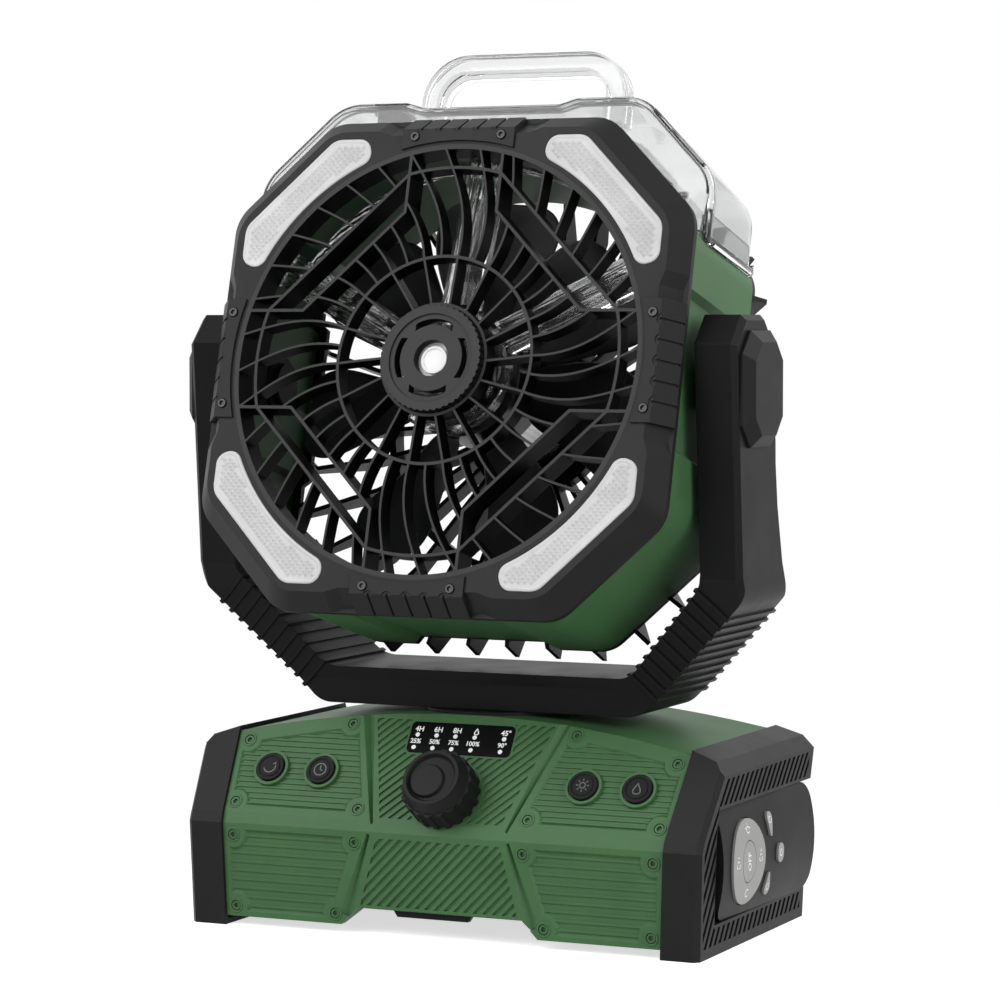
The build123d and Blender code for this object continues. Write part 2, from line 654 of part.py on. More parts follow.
def slat_cuts():
    """Diagonal slots round the cradle on the cap's side face."""
    band = offset(base_side(CAP_PROUD), -4.2)
    band &= Pos(0, sum(SLAT_BAND) / 2) * Rectangle(300, SLAT_BAND[1] - SLAT_BAND[0])
    middle = (REMOTE_PLACE[1], REMOTE_PLACE[2])
    window = Rectangle(REMOTE_LENGTH + 2 * CRADLE_FRONT_GAP + 3, REMOTE_HEIGHT + 2 * (SLIDING + 1.3))
    band -= Pos(middle[0] + 1, middle[1]) * window
    band -= Pos(100, middle[1]) * Rectangle(2 * (100 - middle[0]), REMOTE_HEIGHT + 3)
    slots = side_slab(stripes(band, SLAT_ANGLE, SLAT_PITCH, SLAT_GAP), 100, 130)
    kept = front_slab(cap_front(SLAT_DEPTH), -80, 80)
    return slots - kept


def edge_bevel(start, end):
    """Wedge that takes off the cap's front corner along an edge."""
    a, b = Vector(*start), Vector(*end)
    along = (b - a).normalized()
    wedge = Plane(a, x_dir=(1, -1, 0), z_dir=along)
    length = (b - a).length
    depth = CAP_BEVEL / sqrt(2)
    return wedge.location * Pos(10 - depth, 0, length / 2) * Box(20, 40, length + 2 * CAP_BEVEL)


def foot_rail():
    """Ridged rail along the right cap's inner foot."""
    number, pitch, depth = FOOT_RIDGES
    width, length, height = FOOT_RAIL
    rail = Rectangle(width, length)
    for i in range(number):
        rail -= Pos(-width / 2, (i - (number - 1) / 2) * pitch) * Rectangle(2 * depth, pitch / 2)
    return Pos(SEAM_FOOT_X + width / 2, 0, 0) * extrude(rail, amount=height)


def end_cap(cradle):
    """Black cap of one end, here the right one; the remote's cradle is only in that one."""
    body = front_slab(cap_front(), -80, 80) & side_slab(base_side(CAP_PROUD, top=CAP_TOP_Z + 1), 90, 120)
    ridge = (CAP_RIDGE_X, RIDGE_Y - CAP_PROUD, RIDGE_LOW_Z)
    knee = (CAP_RIDGE_X, SLOPE_FOOT_Y - CAP_PROUD, RIDGE_HIGH_Z)
    shoulder_y = SLOPE_FOOT_Y - CAP_PROUD + (CAP_WIDE_Z - RIDGE_HIGH_Z) * tan(radians(SLOPE_ANGLE))
    shoulder = (BASE_WIDTH / 2, shoulder_y, CAP_WIDE_Z)
    body -= edge_bevel((CAP_FOOT_X, FRONT_FOOT_Y - CAP_PROUD, 0), ridge)
    body -= edge_bevel(ridge, knee)
    body -= edge_bevel(knee, shoulder)
    room = front_slab(cap_front(WALL), -80, 80) & side_slab(offset(base_side(CAP_PROUD), -WALL), 90, 120)
    if cradle:
        room -= cradle_room(CRADLE_WALL)
    body -= room
    if cradle:
        body -= cradle_room(0)
    return body - slat_cuts() + foot_rail()


def left_cap():
    return mirror(end_cap(False), Plane.YZ)


def panel_screws():
    return group(place(x, z, screw()) for place, x, z in screw_places())


def indicator_panel():
    """Black plate with rounded corners, let into the sloping front."""
    outline = RectangleRounded(LABEL_SIZE[0], LABEL_SIZE[1], 2.0)
    return on_slope(0, LABEL_Z, Pos(0, 0, -LABEL_THICK / 2) * extrude(outline, amount=LABEL_THICK))


def speed_knob():
    """Fluted knob with a dished top and an off-centre disc, round a bore for the potentiometer's shaft."""
    skirt = Circle(KNOB_R)
    for i in range(KNOB_FLUTES):
        angle = 2 * pi * i / KNOB_FLUTES
        skirt -= Pos((KNOB_R + 1.1) * cos(angle), (KNOB_R + 1.1) * sin(angle)) * Circle(2.1)
    knob = Pos(0, 0, KNOB_LIFT) * extrude(skirt, amount=KNOB_SKIRT_H)
    neck = Pos(0, 0, KNOB_LIFT + KNOB_SKIRT_H) * Cone(
        KNOB_R - 1.2, KNOB_TOP_R, KNOB_H - KNOB_SKIRT_H, align=(Align.CENTER, Align.CENTER, Align.MIN))
    knob += neck
    top = KNOB_LIFT + KNOB_H
    standing = (Align.CENTER, Align.CENTER, Align.MIN)
    dish = Cone(KNOB_DISH_R - 1, KNOB_DISH_R + 0.3, KNOB_DISH_DEPTH + 0.5, align=standing)
    disc = Cone(KNOB_DISC_R + 1, KNOB_DISC_R, KNOB_DISH_DEPTH, align=standing)
    knob -= Pos(0, 0, top - KNOB_DISH_DEPTH) * dish
    knob += Pos(*KNOB_DISC_PLACE, top - KNOB_DISH_DEPTH - 0.4) * disc
    knob -= rod(POT_SHAFT_R, 0, KNOB_LIFT + KNOB_SKIRT_H)
    return on_slope(0, KNOB_Z, knob)


def knob_shaft():
    """Potentiometer's shaft, from inside its case up into the knob."""
    return on_slope(0, KNOB_Z, rod(POT_SHAFT_R, 3 - BOARD_DEPTH, KNOB_LIFT + KNOB_SKIRT_H - 0.3))


def potentiometer():
    """Square case on the board with a bore for the shaft."""
    case = Pos(0, 0, POT_SIZE[2] / 2 - BOARD_DEPTH) * Box(*POT_SIZE)
    return on_slope(0, KNOB_Z, case - rod(POT_SHAFT_R + RUNNING, 3 - BOARD_DEPTH - RUNNING, 0))


def push_button(x):
    """Round cap with a raised edge, a flange inside the housing and a stem to its switch."""
    cap = rod(BUTTON_R, -WALL - SLIDING - 1, BUTTON_PROUD)
    cap -= tube(BUTTON_R - 1.0, BUTTON_R - 1.7, BUTTON_PROUD - 0.4, BUTTON_PROUD + 1)
    cap += rod(BUTTON_FLANGE_R, -WALL - SLIDING - 1.2, -WALL - SLIDING)
    stem_low = -BOARD_DEPTH + SWITCH_SIZE[2] + 0.6 + BUTTON_TRAVEL + 0.1
    cap += rod(BUTTON_STEM_R, stem_low, -WALL - SLIDING)
    return on_slope(x, BUTTON_Z, cap)


def button_switches():
    """One tact switch under each button."""
    switches = []
    for x in BUTTON_X:
        case = Pos(0, 0, SWITCH_SIZE[2] / 2 - BOARD_DEPTH) * Box(*SWITCH_SIZE)
        top = SWITCH_SIZE[2] - BOARD_DEPTH
        switches.append(on_slope(x, BUTTON_Z, case + rod(1.7, top - 0.5, top + 0.6)))
    return group(switches)


def control_board():
    """Circuit board under the sloping front, on the housing's posts."""
    outline = Rectangle(*BOARD_SIZE)
    return on_slope(0, BOARD_Z, Pos(0, 0, -BOARD_DEPTH - BOARD_THICK) * extrude(outline, amount=BOARD_THICK))


def cell_floor():
    return PLATE_Z + PLATE_THICK


def battery_cells():
    """Six round cells in two groups of three, lying across the base."""
    cells = []
    for side in (-1, 1):
        for y in CELL_Y:
            cell = rod(CELL_R, -CELL_LENGTH / 2, CELL_LENGTH / 2)
            cells.append(Pos(side * CELL_X, y, cell_floor() + CELL_R + 1.5) * along_x(cell))
    return group(cells)


def battery_holder():
    """Two trays with end plates that hold the cells."""
    trays = []
    width = CELL_Y[-1] - CELL_Y[0] + 2 * CELL_R + 4
    middle = (CELL_Y[-1] + CELL_Y[0]) / 2
    height = 1.5 + CELL_R
    for side in (-1, 1):
        tray = Box(CELL_LENGTH + 2 * CRADLE_END, width, height)
        tray = Pos(side * CELL_X, middle, cell_floor() + height / 2) * tray
        for y in CELL_Y:
            room = rod(CELL_R + SEAT, -CELL_LENGTH / 2, CELL_LENGTH / 2)
            tray -= Pos(side * CELL_X, y, cell_floor() + CELL_R + 1.5) * along_x(room)
        trays.append(tray)
    return group(trays)


def charge_socket():
    """Charging socket in the housing's back wall."""
    depth = 8.0
    shell = Box(PORT_SIZE[0], depth, PORT_SIZE[1])
    mouth = Pos(0, 2, 0) * Box(PORT_SIZE[0] - 2.4, depth, PORT_SIZE[1] - 2.4)
    place = Pos(PORT_X, BACK_FOOT_Y + 1.2 - depth / 2, PORT_Z)
    flange = Pos(PORT_X, BACK_FOOT_Y + 1.2 - WALL - 2.5, PORT_Z) * Box(PORT_SIZE[0] + 6, 2, PORT_SIZE[1] + 6)
    return place * (shell - mouth) + (flange - place * Box(PORT_SIZE[0], depth, PORT_SIZE[1]))


# ================================================================ remote control
def remote_solid(inset=0.0):
    """Outer shape of the remote, crowned across its width."""
    half = REMOTE_HEIGHT / 2 - inset
    edge = REMOTE_EDGE - inset
    crown = ThreePointArc((edge, -half), (edge + REMOTE_BULGE, 0), (edge, half))
    profile = make_face(crown + Polyline((edge, half), (inset, half), (inset, -half), (edge, -half)))
    corner = REMOTE_CORNER - inset
    outline = RectangleRounded(REMOTE_LENGTH - 2 * inset, REMOTE_HEIGHT - 2 * inset, corner)
    return front_slab(profile, -REMOTE_LENGTH, REMOTE_LENGTH) & side_slab(outline, -1, 40)


def above_split(x):
    return Pos(x + 20, 0, 0) * Box(40, 200, 100)


def small_key_plan(place, upper_r, lower_r, distance, margin=0.0):
    """Teardrop or oval: two discs above each other, joined by their tangents."""
    high, low = upper_r + margin, lower_r + margin
    lean = (low - high) / distance
    flank = sqrt(1 - lean ** 2)
    up = [(high * flank, distance / 2 + high * lean), (-high * flank, distance / 2 + high * lean)]
    down = [(-low * flank, low * lean - distance / 2), (low * flank, low * lean - distance / 2)]
    plan = face(up + down) + Pos(0, distance / 2) * Circle(high) + Pos(0, -distance / 2) * Circle(low)
    return Pos(*place) * plan


def key_plan(name):
    """Outline of a remote's key in (y, z)."""
    if name == "ring":
        centre = Ellipse(CENTRE_KEY_SIZE[0] + SLIDING, CENTRE_KEY_SIZE[1] + SLIDING)
        return Pos(RING_KEY_Y, RING_KEY_Z) * (Ellipse(*RING_KEY_SIZE) - centre)
    if name == "centre":
        return Pos(RING_KEY_Y, RING_KEY_Z) * Ellipse(*CENTRE_KEY_SIZE)
    return small_key_plan(*SMALL_KEYS[name])


def key_hole():
    """Openings of all keys in the upper case."""
    holes = Pos(RING_KEY_Y, RING_KEY_Z) * Ellipse(RING_KEY_SIZE[0] + SLIDING, RING_KEY_SIZE[1] + SLIDING)
    for key in SMALL_KEYS:
        holes += small_key_plan(*key, margin=SLIDING)
    return holes


def remote_key(name):
    """Key that follows the crown of the case and stands a little proud of it."""
    plan = key_plan(name)
    column = side_slab(plan, REMOTE_SPLIT + 2.4, 40)
    return in_remote(column & (Pos(KEY_PROUD, 0, 0) * remote_solid()))


def remote_upper_case():
    shell = (remote_solid() - remote_solid(REMOTE_WALL)) & above_split(REMOTE_SPLIT)
    return in_remote(shell - side_slab(key_hole(), REMOTE_SPLIT + 2, 40))


def remote_lower_case():
    return in_remote((remote_solid() - remote_solid(REMOTE_WALL)) - above_split(REMOTE_SPLIT))


def remote_board():
    """Board under the keys, on a rim in the lower case."""
    outline = RectangleRounded(REMOTE_LENGTH - 2 * REMOTE_WALL - 1, REMOTE_HEIGHT - 2 * REMOTE_WALL - 1, 4)
    return in_remote(side_slab(outline, REMOTE_SPLIT, REMOTE_SPLIT + 1.2))


def remote_cell():
    return in_remote(Pos(REMOTE_WALL, 32, 0) * along_x(rod(10, 0, 2.6)))


# ================================================================ swivel
def gear_distance():
    return GEAR_MODULE * (GEAR_TEETH + PINION_TEETH) / 2


def gear_outline(teeth, turn=0.0):
    """Spur gear with straight-flanked teeth."""
    pitch_r = GEAR_MODULE * teeth / 2
    root_r = pitch_r - 1.25 * GEAR_MODULE
    tip_r = pitch_r + GEAR_MODULE - 0.1
    outline = Circle(root_r)
    root_half = 0.28 * 2 * pi * pitch_r / teeth
    tip_half = 0.12 * 2 * pi * pitch_r / teeth
    tooth = face([(root_r - 0.5, -root_half), (tip_r, -tip_half), (tip_r, tip_half), (root_r - 0.5, root_half)])
    return outline + [Rot(0, 0, turn + 360 * i / teeth) * tooth for i in range(teeth)]


def swivel_gear():
    """Gear keyed on the spindle inside the base."""
    plate = gear_outline(GEAR_TEETH, 90) - Circle(SPINDLE_R)
    return Pos(0, 0, GEAR_Z - GEAR_THICK) * extrude(plate, amount=GEAR_THICK)


def drive_pinion():
    """Pinion of the swivel motor, with its shaft."""
    teeth = gear_outline(PINION_TEETH, -90 + 180 / PINION_TEETH)
    pinion = Pos(0, 0, GEAR_Z - GEAR_THICK + 0.5) * extrude(teeth, amount=GEAR_THICK)
    pinion += rod(GEARMOTOR_SHAFT_R, GEARMOTOR_TOP_Z - 10, GEAR_Z)
    return Pos(0, gear_distance(), 0) * pinion


def swivel_motor():
    """Geared motor on its stand, bored for the pinion's shaft."""
    size = GEARMOTOR_SIZE
    body = Pos(0, 0, GEARMOTOR_TOP_Z - 2 - size[2] / 2 + 1) * Box(size[0], size[1], size[2] - 2)
    body -= rod(GEARMOTOR_SHAFT_R + RUNNING, GEARMOTOR_TOP_Z - 10 - RUNNING, GEARMOTOR_TOP_Z + 1)
    return Pos(0, gear_distance(), 0) * body


def swivel_bearing():
    """Plain bush between the housing and the spindle."""
    return tube(BEARING_R, SPINDLE_R + RUNNING, BEARING_LOW_Z, COLLAR_Z)


def swivel_collar():
    """Dark disc round the spindle, let into the top of the housing."""
    return tube(COLLAR_R, SPINDLE_R + SLIDING, COLLAR_Z, COLLAR_TOP_Z)


def swivel_spindle():
    """Hollow spindle under the yoke, through bearing and gear, with a foot flange."""
    low = GEAR_Z - GEAR_THICK
    return tube(SPINDLE_R, SPINDLE_BORE_R, low, YOKE_FOOT_Z)


def spindle_nut():
    """Ring that holds the gear on the spindle from below."""
    low = GEAR_Z - GEAR_THICK
    return tube(SPINDLE_R + 3, SPINDLE_BORE_R, low - 3, low)


# ================================================================ yoke
def yoke_front(grow=0.0):
    """U of the yoke seen from the front, its lower corners slanting."""
    slant = (BAR_CORNER_X, YOKE_FOOT_Z), (YOKE_X, ARM_CORNER_Z - 3)
    outer = [(YOKE_X, ARM_TOP_Z + 5), slant[1], slant[0]]
    inner = [
        (YOKE_X - ARM_THICK, ARM_TOP_Z + 5),
        (YOKE_X - ARM_THICK, ARM_CORNER_Z + 2.5),
        (YOKE_X - ARM_THICK - 35.5, YOKE_FOOT_Z + YOKE_BAR_THICK),
    ]
    outline = face(outer + mirrored(outer) + [(-x, z) for x, z in inner] + list(reversed(inner)))
    low = [v for v in outline.vertices() if v.Z < 0 or v.Y < ARM_TOP_Z]
    outline = fillet(low, CORNER_BLEND)
    return offset(outline, grow) if grow else outline


def yoke_side(grow=0.0):
    """Arm seen from the side: leans forwards and widens towards the bar."""
    points = list(ARM_FRONT) + [(ARM_FRONT[-1][0], YOKE_FOOT_Z), (ARM_BACK[0][0], YOKE_FOOT_Z)]
    points += list(ARM_BACK) + list(ARM_TOP)
    outline = face(points)
    return offset(outline, grow) if grow else outline


def slant_ribs():
    """Raised bands round each slanting corner."""
    reach = YOKE_X + RIB_HEIGHT + 1
    band = front_slab(yoke_front(RIB_HEIGHT), -60, 60) & side_slab(yoke_side(RIB_HEIGHT), -reach, reach)
    rise = ARM_CORNER_Z - 3 - YOKE_FOOT_Z
    run = YOKE_X - BAR_CORNER_X
    angle = degrees(atan2(rise, run))
    middle = Pos(BAR_CORNER_X + run / 2 - 6, 0, YOKE_FOOT_Z + rise / 2 + 5)
    slices = []
    for i in range(RIB_COUNT):
        along = (i - (RIB_COUNT - 1) / 2) * RIB_PITCH
        slices.append(middle * Rot(0, -angle, 0) * Pos(along, 0, 0) * Box(RIB_WIDTH, 120, 40))
    ribs = []
    for piece in slices:
        rib = band & piece
        ribs += both_sides(rib)
    return ribs


def yoke_frame():
    """Black U-shaped frame with ribbed lower corners, bored at the pivots and for the spindle."""
    straight = YOKE_X - YOKE_CHAMFER
    bevel = Pos(straight, 0, 0) * extrude(Plane.YZ * yoke_side(), amount=YOKE_CHAMFER, taper=45)
    sides = side_slab(yoke_side(), -straight, straight) + both_sides(bevel)
    frame = front_slab(yoke_front(), -60, 60) & sides
    for rib in slant_ribs():
        frame += rib
    for side in (-1, 1):
        boss = along_x(rod(PIVOT_BOSS_R, YOKE_X - ARM_THICK - PIVOT_BOSS, YOKE_X - ARM_THICK + 1))
        bore = along_x(rod(PIN_R + 0.02, YOKE_X - ARM_THICK - 10, YOKE_X + 5))
        seat = along_x(rod(PIN_HEAD_R + SEAT, YOKE_X - PIN_HEAD_H, YOKE_X + 5))
        place = Pos(0, PIVOT_Y, PIVOT_Z)
        turn = Rot(0, 0, 0 if side > 0 else 180)
        frame += place * turn * boss
        frame -= place * turn * (bore + seat)
    frame -= rod(SPINDLE_BORE_R, YOKE_FOOT_Z - 1, YOKE_FOOT_Z + YOKE_BAR_THICK - 3)
    return frame


def pivot_pins():
    """Pin with a broad head in each arm, reaching into the head's pivot hubs."""
    pins = []
    for turn in (0, 180):
        pin = rod(PIN_R, PIN_END_X, YOKE_X - PIN_HEAD_H) + rod(PIN_HEAD_R, YOKE_X - PIN_HEAD_H, YOKE_X)
        pins.append(Pos(0, PIVOT_Y, PIVOT_Z) * Rot(0, 0, turn) * along_x(pin))
    return group(pins)


def pod_outline(inset):
    """Pivot cover seen from the side, an upright octagon."""
    half_y = POD_DEPTH / 2 - inset
    half_z = POD_HEIGHT / 2 - inset
    cut = POD_CUT - 0.4 * inset
    return face([
        (half_y - cut, -half_z), (half_y, -half_z + cut), (half_y, half_z - cut), (half_y - cut, half_z),
        (-half_y + cut, half_z), (-half_y, half_z - cut), (-half_y, -half_z + cut), (-half_y + cut, -half_z),
    ])


def pivot_cover():
    """Bevelled cover over the right pivot."""
    foot = 1.2
    base = Plane.YZ * pod_outline(0)
    top = Plane.YZ * pod_outline(POD_BEVEL)
    cover = extrude(base, amount=foot)
    cover += loft([Pos(foot, 0, 0) * base, Pos(POD_X - YOKE_X, 0, 0) * top], ruled=True)
    return Pos(YOKE_X, POD_Y, PIVOT_Z) * cover


# ================================================================ head
def in_head(shape):
    """Places a shape made in the head's frame: y back from the bezel's front, z up through its middle."""
    return Pos(0, PIVOT_Y, PIVOT_Z) * Rot(-TILT, 0, 0) * Pos(0, -PIVOT_DEPTH, 0) * shape


def octagon(half, total, corner=0.0):
    """Octagon of a half width, its slanting sides on |x| + |z| = total."""
    cut = total - half
    outline = face([
        (half, -cut), (half, cut), (cut, half), (-cut, half),
        (-half, cut), (-half, -cut), (-cut, -half), (cut, -half),
    ])
    return fillet(outline.vertices(), corner) if corner else outline


def at_depth(sketch, depth):
    """Front-view sketch as a face at a depth."""
    return Pos(0, depth, 0) * Rot(90, 0, 0) * sketch


def tapered(front, back, near, far):
    """Solid between a front-view outline at depth near and another at depth far."""
    return loft([at_depth(front, near), at_depth(back, far)], ruled=True)


def bezel_outline(grow, inset=0.0):
    half = BEZEL_HALF + grow - inset
    total = BEZEL_SUM + 1.7 * grow - 1.414 * inset
    return octagon(half, total, CORNER_R - inset)


def flat_notch(grow):
    """Shallow notch of the bezel's right flat, where a clip sits."""
    deep = BEZEL_HALF + grow - NOTCH_IN
    far = BEZEL_HALF + BEZEL_FLARE + 5
    wide = NOTCH_HALF + NOTCH_SLOPE * (far - deep) / NOTCH_IN
    return face([(deep, -NOTCH_HALF), (far, -wide), (far, wide), (deep, NOTCH_HALF)])


def clip_seat():
    """Space of a notch through the flared wall."""
    return tapered(flat_notch(0), flat_notch(BEZEL_FLARE), 0, BEZEL_SKIRT)


def four_times(shape):
    """A shape at the right, top, left and bottom of the head."""
    return [Rot(0, -90 * i, 0) * shape for i in range(4)]


def bezel():
    """Black octagonal front frame with a flared wall, lamp windows and a round duct."""
    body = tapered(bezel_outline(0), bezel_outline(BEZEL_FLARE), 0, BEZEL_SKIRT)
    body += front_slab(bezel_outline(BEZEL_FLARE), BEZEL_SKIRT, BEZEL_DEPTH)
    start = BEZEL_PLATE
    flare_at_plate = BEZEL_FLARE * start / BEZEL_SKIRT
    wall = BEZEL_WALL + NOTCH_IN * 0.3
    room = tapered(bezel_outline(flare_at_plate, wall), bezel_outline(BEZEL_FLARE, wall), start, BEZEL_SKIRT)
    room += front_slab(bezel_outline(BEZEL_FLARE, wall), BEZEL_SKIRT, BEZEL_DEPTH + 1)
    room -= along_y(rod(BEZEL_BORE_R + BEZEL_DUCT, 0, BEZEL_DEPTH + 1))
    body -= room
    body -= along_y(rod(BEZEL_BORE_R, -1, BEZEL_DEPTH + 1))
    for seat in four_times(clip_seat()):
        body -= seat
    for lens in lens_outlines(LENS_GAP):
        body -= front_slab(lens, -1, LENS_THICK)
    for lens in lens_outlines(-LENS_LEDGE):
        body -= front_slab(lens, -1, BEZEL_PLATE + 1)
    for clip_hole in four_times(clip_holes()):
        body -= clip_hole
    return in_head(body)


def lens_outline():
    """Upper right lamp lens: inside the bezel's corner, outside the duct, cut at its ends."""
    half = BEZEL_HALF - LENS_INSET
    total = BEZEL_SUM - 1.414 * LENS_INSET
    cut = total - half
    start = (LENS_END, half)
    inner = (LENS_END - 3, sqrt(LENS_INNER_R ** 2 - (LENS_END - 3) ** 2))
    middle = LENS_INNER_R / sqrt(2)
    outline = Polyline(inner, start, (cut, half), (half, cut), (start[1], start[0]), (inner[1], inner[0]))
    arc = ThreePointArc((inner[1], inner[0]), (middle, middle), inner)
    lens = make_face(outline + arc)
    corners = [v for v in lens.vertices() if min(v.X, v.Y) > LENS_END + 2]
    lens = fillet(corners, LENS_CORNER)
    ends = [v for v in lens.vertices() if min(v.X, v.Y) < LENS_END + 0.1]
    return fillet(ends, LENS_END_R)


def lens_outlines(grow):
    """All four lamp lens outlines, a little larger or smaller."""
    lens = offset(lens_outline(), grow, kind=Kind.INTERSECTION) if grow else lens_outline()
    return [Rot(0, 0, 90 * i) * lens for i in range(4)]


def lamp_lenses():
    return group(in_head(front_slab(lens, LENS_THICK - LENS_HEIGHT, LENS_THICK)) for lens in lens_outlines(0))


def lamp_boards():
    """A lamp board behind each lens, with its row of lamps in the window."""
    boards = []
    lamp_high = BEZEL_PLATE - LENS_THICK - 0.1
    for i, outline in enumerate(lens_outlines(-LAMP_BOARD_INSET)):
        board = front_slab(outline, BEZEL_PLATE, BEZEL_PLATE + LAMP_BOARD_THICK)
        for turn in LAMP_ANGLES:
            lamp = Pos(0, 0, LAMP_RADIUS) * Box(LAMP_SIZE, lamp_high + 0.5, LAMP_SIZE)
            board += Rot(0, 45 - 90 * i + turn, 0) * Pos(0, BEZEL_PLATE - lamp_high / 2 + 0.25, 0) * lamp
        boards.append(in_head(board))
    return group(boards)


def clip_holes():
    """Pilot holes of a clip's two screws, at the right."""
    holes = []
    for z in (-CLIP_SCREW_Z, CLIP_SCREW_Z):
        hole = along_y(rod(SCREW_SHANK_R * CLIP_SCREW_SCALE, -1, CLIP_SCREW_DEEP))
        holes.append(Pos(CLIP_SCREW_X, 0, z) * hole)
    return Compound(children=holes)


def edge_clip():
    """Ribbed clip over the bezel's right flat: a face plate and a flared wall part in six lobes."""
    inner = BEZEL_HALF - NOTCH_IN
    plate = face([(inner - CLIP_FACE, -CLIP_HALF), (inner + 0.4, -CLIP_HALF),
                  (inner + 0.4, CLIP_HALF), (inner - CLIP_FACE, CLIP_HALF)])
    plate -= Circle(BEZEL_BORE_R + 1.2)
    clip = front_slab(plate, -CLIP_PROUD, 0)
    crease = inner + NOTCH_IN + CLIP_PROUD
    wall = face([(inner, -CLIP_HALF), (crease, -CLIP_HALF), (crease, CLIP_HALF), (inner, CLIP_HALF)])
    slope = BEZEL_FLARE / BEZEL_SKIRT
    end = BEZEL_SKIRT - 0.6
    clip += tapered(Pos(-CLIP_PROUD * slope, 0) * wall, Pos(end * slope, 0) * wall, -CLIP_PROUD, end)
    pitch = 2 * CLIP_HALF / CLIP_LOBES
    for i in range(1, CLIP_LOBES):
        groove = Pos(crease, 0, i * pitch - CLIP_HALF) * Rot(0, 0, -degrees(atan2(BEZEL_FLARE, BEZEL_SKIRT)))
        clip -= groove * Box(1.6, 40, 1.0)
        scallop = along_y(rod(CLIP_SCALLOP_R, -2, CLIP_SCALLOP_DEPTH))
        clip -= Pos(crease, -CLIP_PROUD, i * pitch - CLIP_HALF) * scallop
    for z in (-CLIP_SCREW_Z, CLIP_SCREW_Z):
        place = Pos(CLIP_SCREW_X, 0, z) * Rot(90, 0, 0)
        clip -= place * rod(SCREW_HEAD_R * CLIP_SCREW_SCALE + SEAT, CLIP_LEDGE, 5)
        clip -= place * rod(SCREW_SHANK_R * CLIP_SCREW_SCALE, -5, 5)
    return clip


def edge_clips():
    return group(in_head(clip) for clip in four_times(edge_clip()))


def clip_screws():
    """Two small hex socket screws in each clip."""
    screws = []
    small = scale(screw(CLIP_SCREW_SHANK), by=CLIP_SCREW_SCALE)
    for i in range(4):
        for z in (-CLIP_SCREW_Z, CLIP_SCREW_Z):
            head_top = -CLIP_LEDGE - SCREW_HEAD_H * CLIP_SCREW_SCALE
            place = Rot(0, -90 * i, 0) * Pos(CLIP_SCREW_X, head_top, z) * Rot(90, 0, 0)
            screws.append(in_head(place * small))
    return group(screws)


# ---------------------------------------------------------------- grille


def on_circle(radius, angle):
    """Point on a circle, the angle measured clockwise from the top."""
    return (radius * sin(radians(angle)), radius * cos(radians(angle)))


def swirl_rib(points, phase):
    """Curved rib of constant width through (radius, angle) points."""
    sides = []
    for sign in (-1, 1):
        side = []
        for radius, angle in points:
            side.append(on_circle(radius, phase - angle + sign * degrees(GRILLE_RIB / 2 / radius)))
        sides.append(side)
    left, right = sides
    outline = Spline(*left) + Line(left[-1], right[-1]) + Spline(*reversed(right)) + Line(right[0], left[0])
    return make_face(outline)


def ring(radius, width):
    return Circle(radius + width / 2) - Circle(radius - width / 2)


def cross_bands():
    """The four slanting bands that stay free of ribs."""
    outer = INNER_CORNER + BAND_WIDTH
    band = face([
        (CROSS_HALF, INNER_CORNER), (CROSS_HALF, outer), (outer, CROSS_HALF), (INNER_CORNER, CROSS_HALF),
    ])
    return Sketch() + [Rot(0, 0, 90 * i) * band for i in range(4)]


def cross_strips():
    """Strips along the bands' edges, run straight out to the rim beside each arm of the cross."""
    outer = INNER_CORNER + BAND_WIDTH
    half = STRIP_WIDTH / 2
    strips = Sketch()
    for corner, end in ((INNER_CORNER, GRILLE_RIM_IN_R + 0.5), (outer, outer)):
        path = [(CROSS_HALF, end), (CROSS_HALF, corner), (corner, CROSS_HALF), (end, CROSS_HALF)]
        if end == corner:
            path = path[1:3]
        for a, b in zip(path, path[1:]):
            length = hypot(b[0] - a[0], b[1] - a[1]) + STRIP_WIDTH * 0.6
            turn = degrees(atan2(b[1] - a[1], b[0] - a[0]))
            strips += Pos((a[0] + b[0]) / 2, (a[1] + b[1]) / 2) * Rot(0, 0, turn) * Rectangle(length, 2 * half)
    return (Sketch() + [Rot(0, 0, 90 * i) * strips for i in range(4)]) & Circle(BEZEL_BORE_R)


def front_grille():
    """Curved ribs between rings, with a cross-shaped pattern of deeper strips."""
    outer_ribs = [p for p in GRILLE_SWIRL if p[0] >= INNER_RING_R]
    inner_ribs = [p for p in GRILLE_SWIRL if p[0] <= INNER_RING_R]
    spacing = 360 / RIB_NUMBER
    outer = [swirl_rib(outer_ribs, RIB_PHASE + spacing * i) for i in range(RIB_NUMBER)]
    inner = [swirl_rib(inner_ribs, RIB_PHASE + spacing * 2 * i) for i in range(RIB_NUMBER // 2)]
    ribs = ((Sketch() + outer) - cross_bands() + inner) & Circle(BEZEL_BORE_R)
    arms = Sketch() + [Rectangle(2 * CROSS_HALF, 400), Rectangle(400, 2 * CROSS_HALF)]
    rings = ring(INNER_RING_R, RING_WIDTH) + ring(HUB_RING_R + RING_WIDTH / 2, RING_WIDTH)
    rings += ring(OUTER_RING_R, RING_WIDTH) & arms
    rim = Circle(BEZEL_BORE_R) - Circle(GRILLE_RIM_IN_R)
    grille = front_slab(ribs, 0, GRILLE_DEPTH)
    grille += front_slab(rings + rim, 0, GRILLE_DEPTH)
    grille += front_slab(cross_strips() + rim, 0, STRIP_DEPTH)
    return in_head(grille)


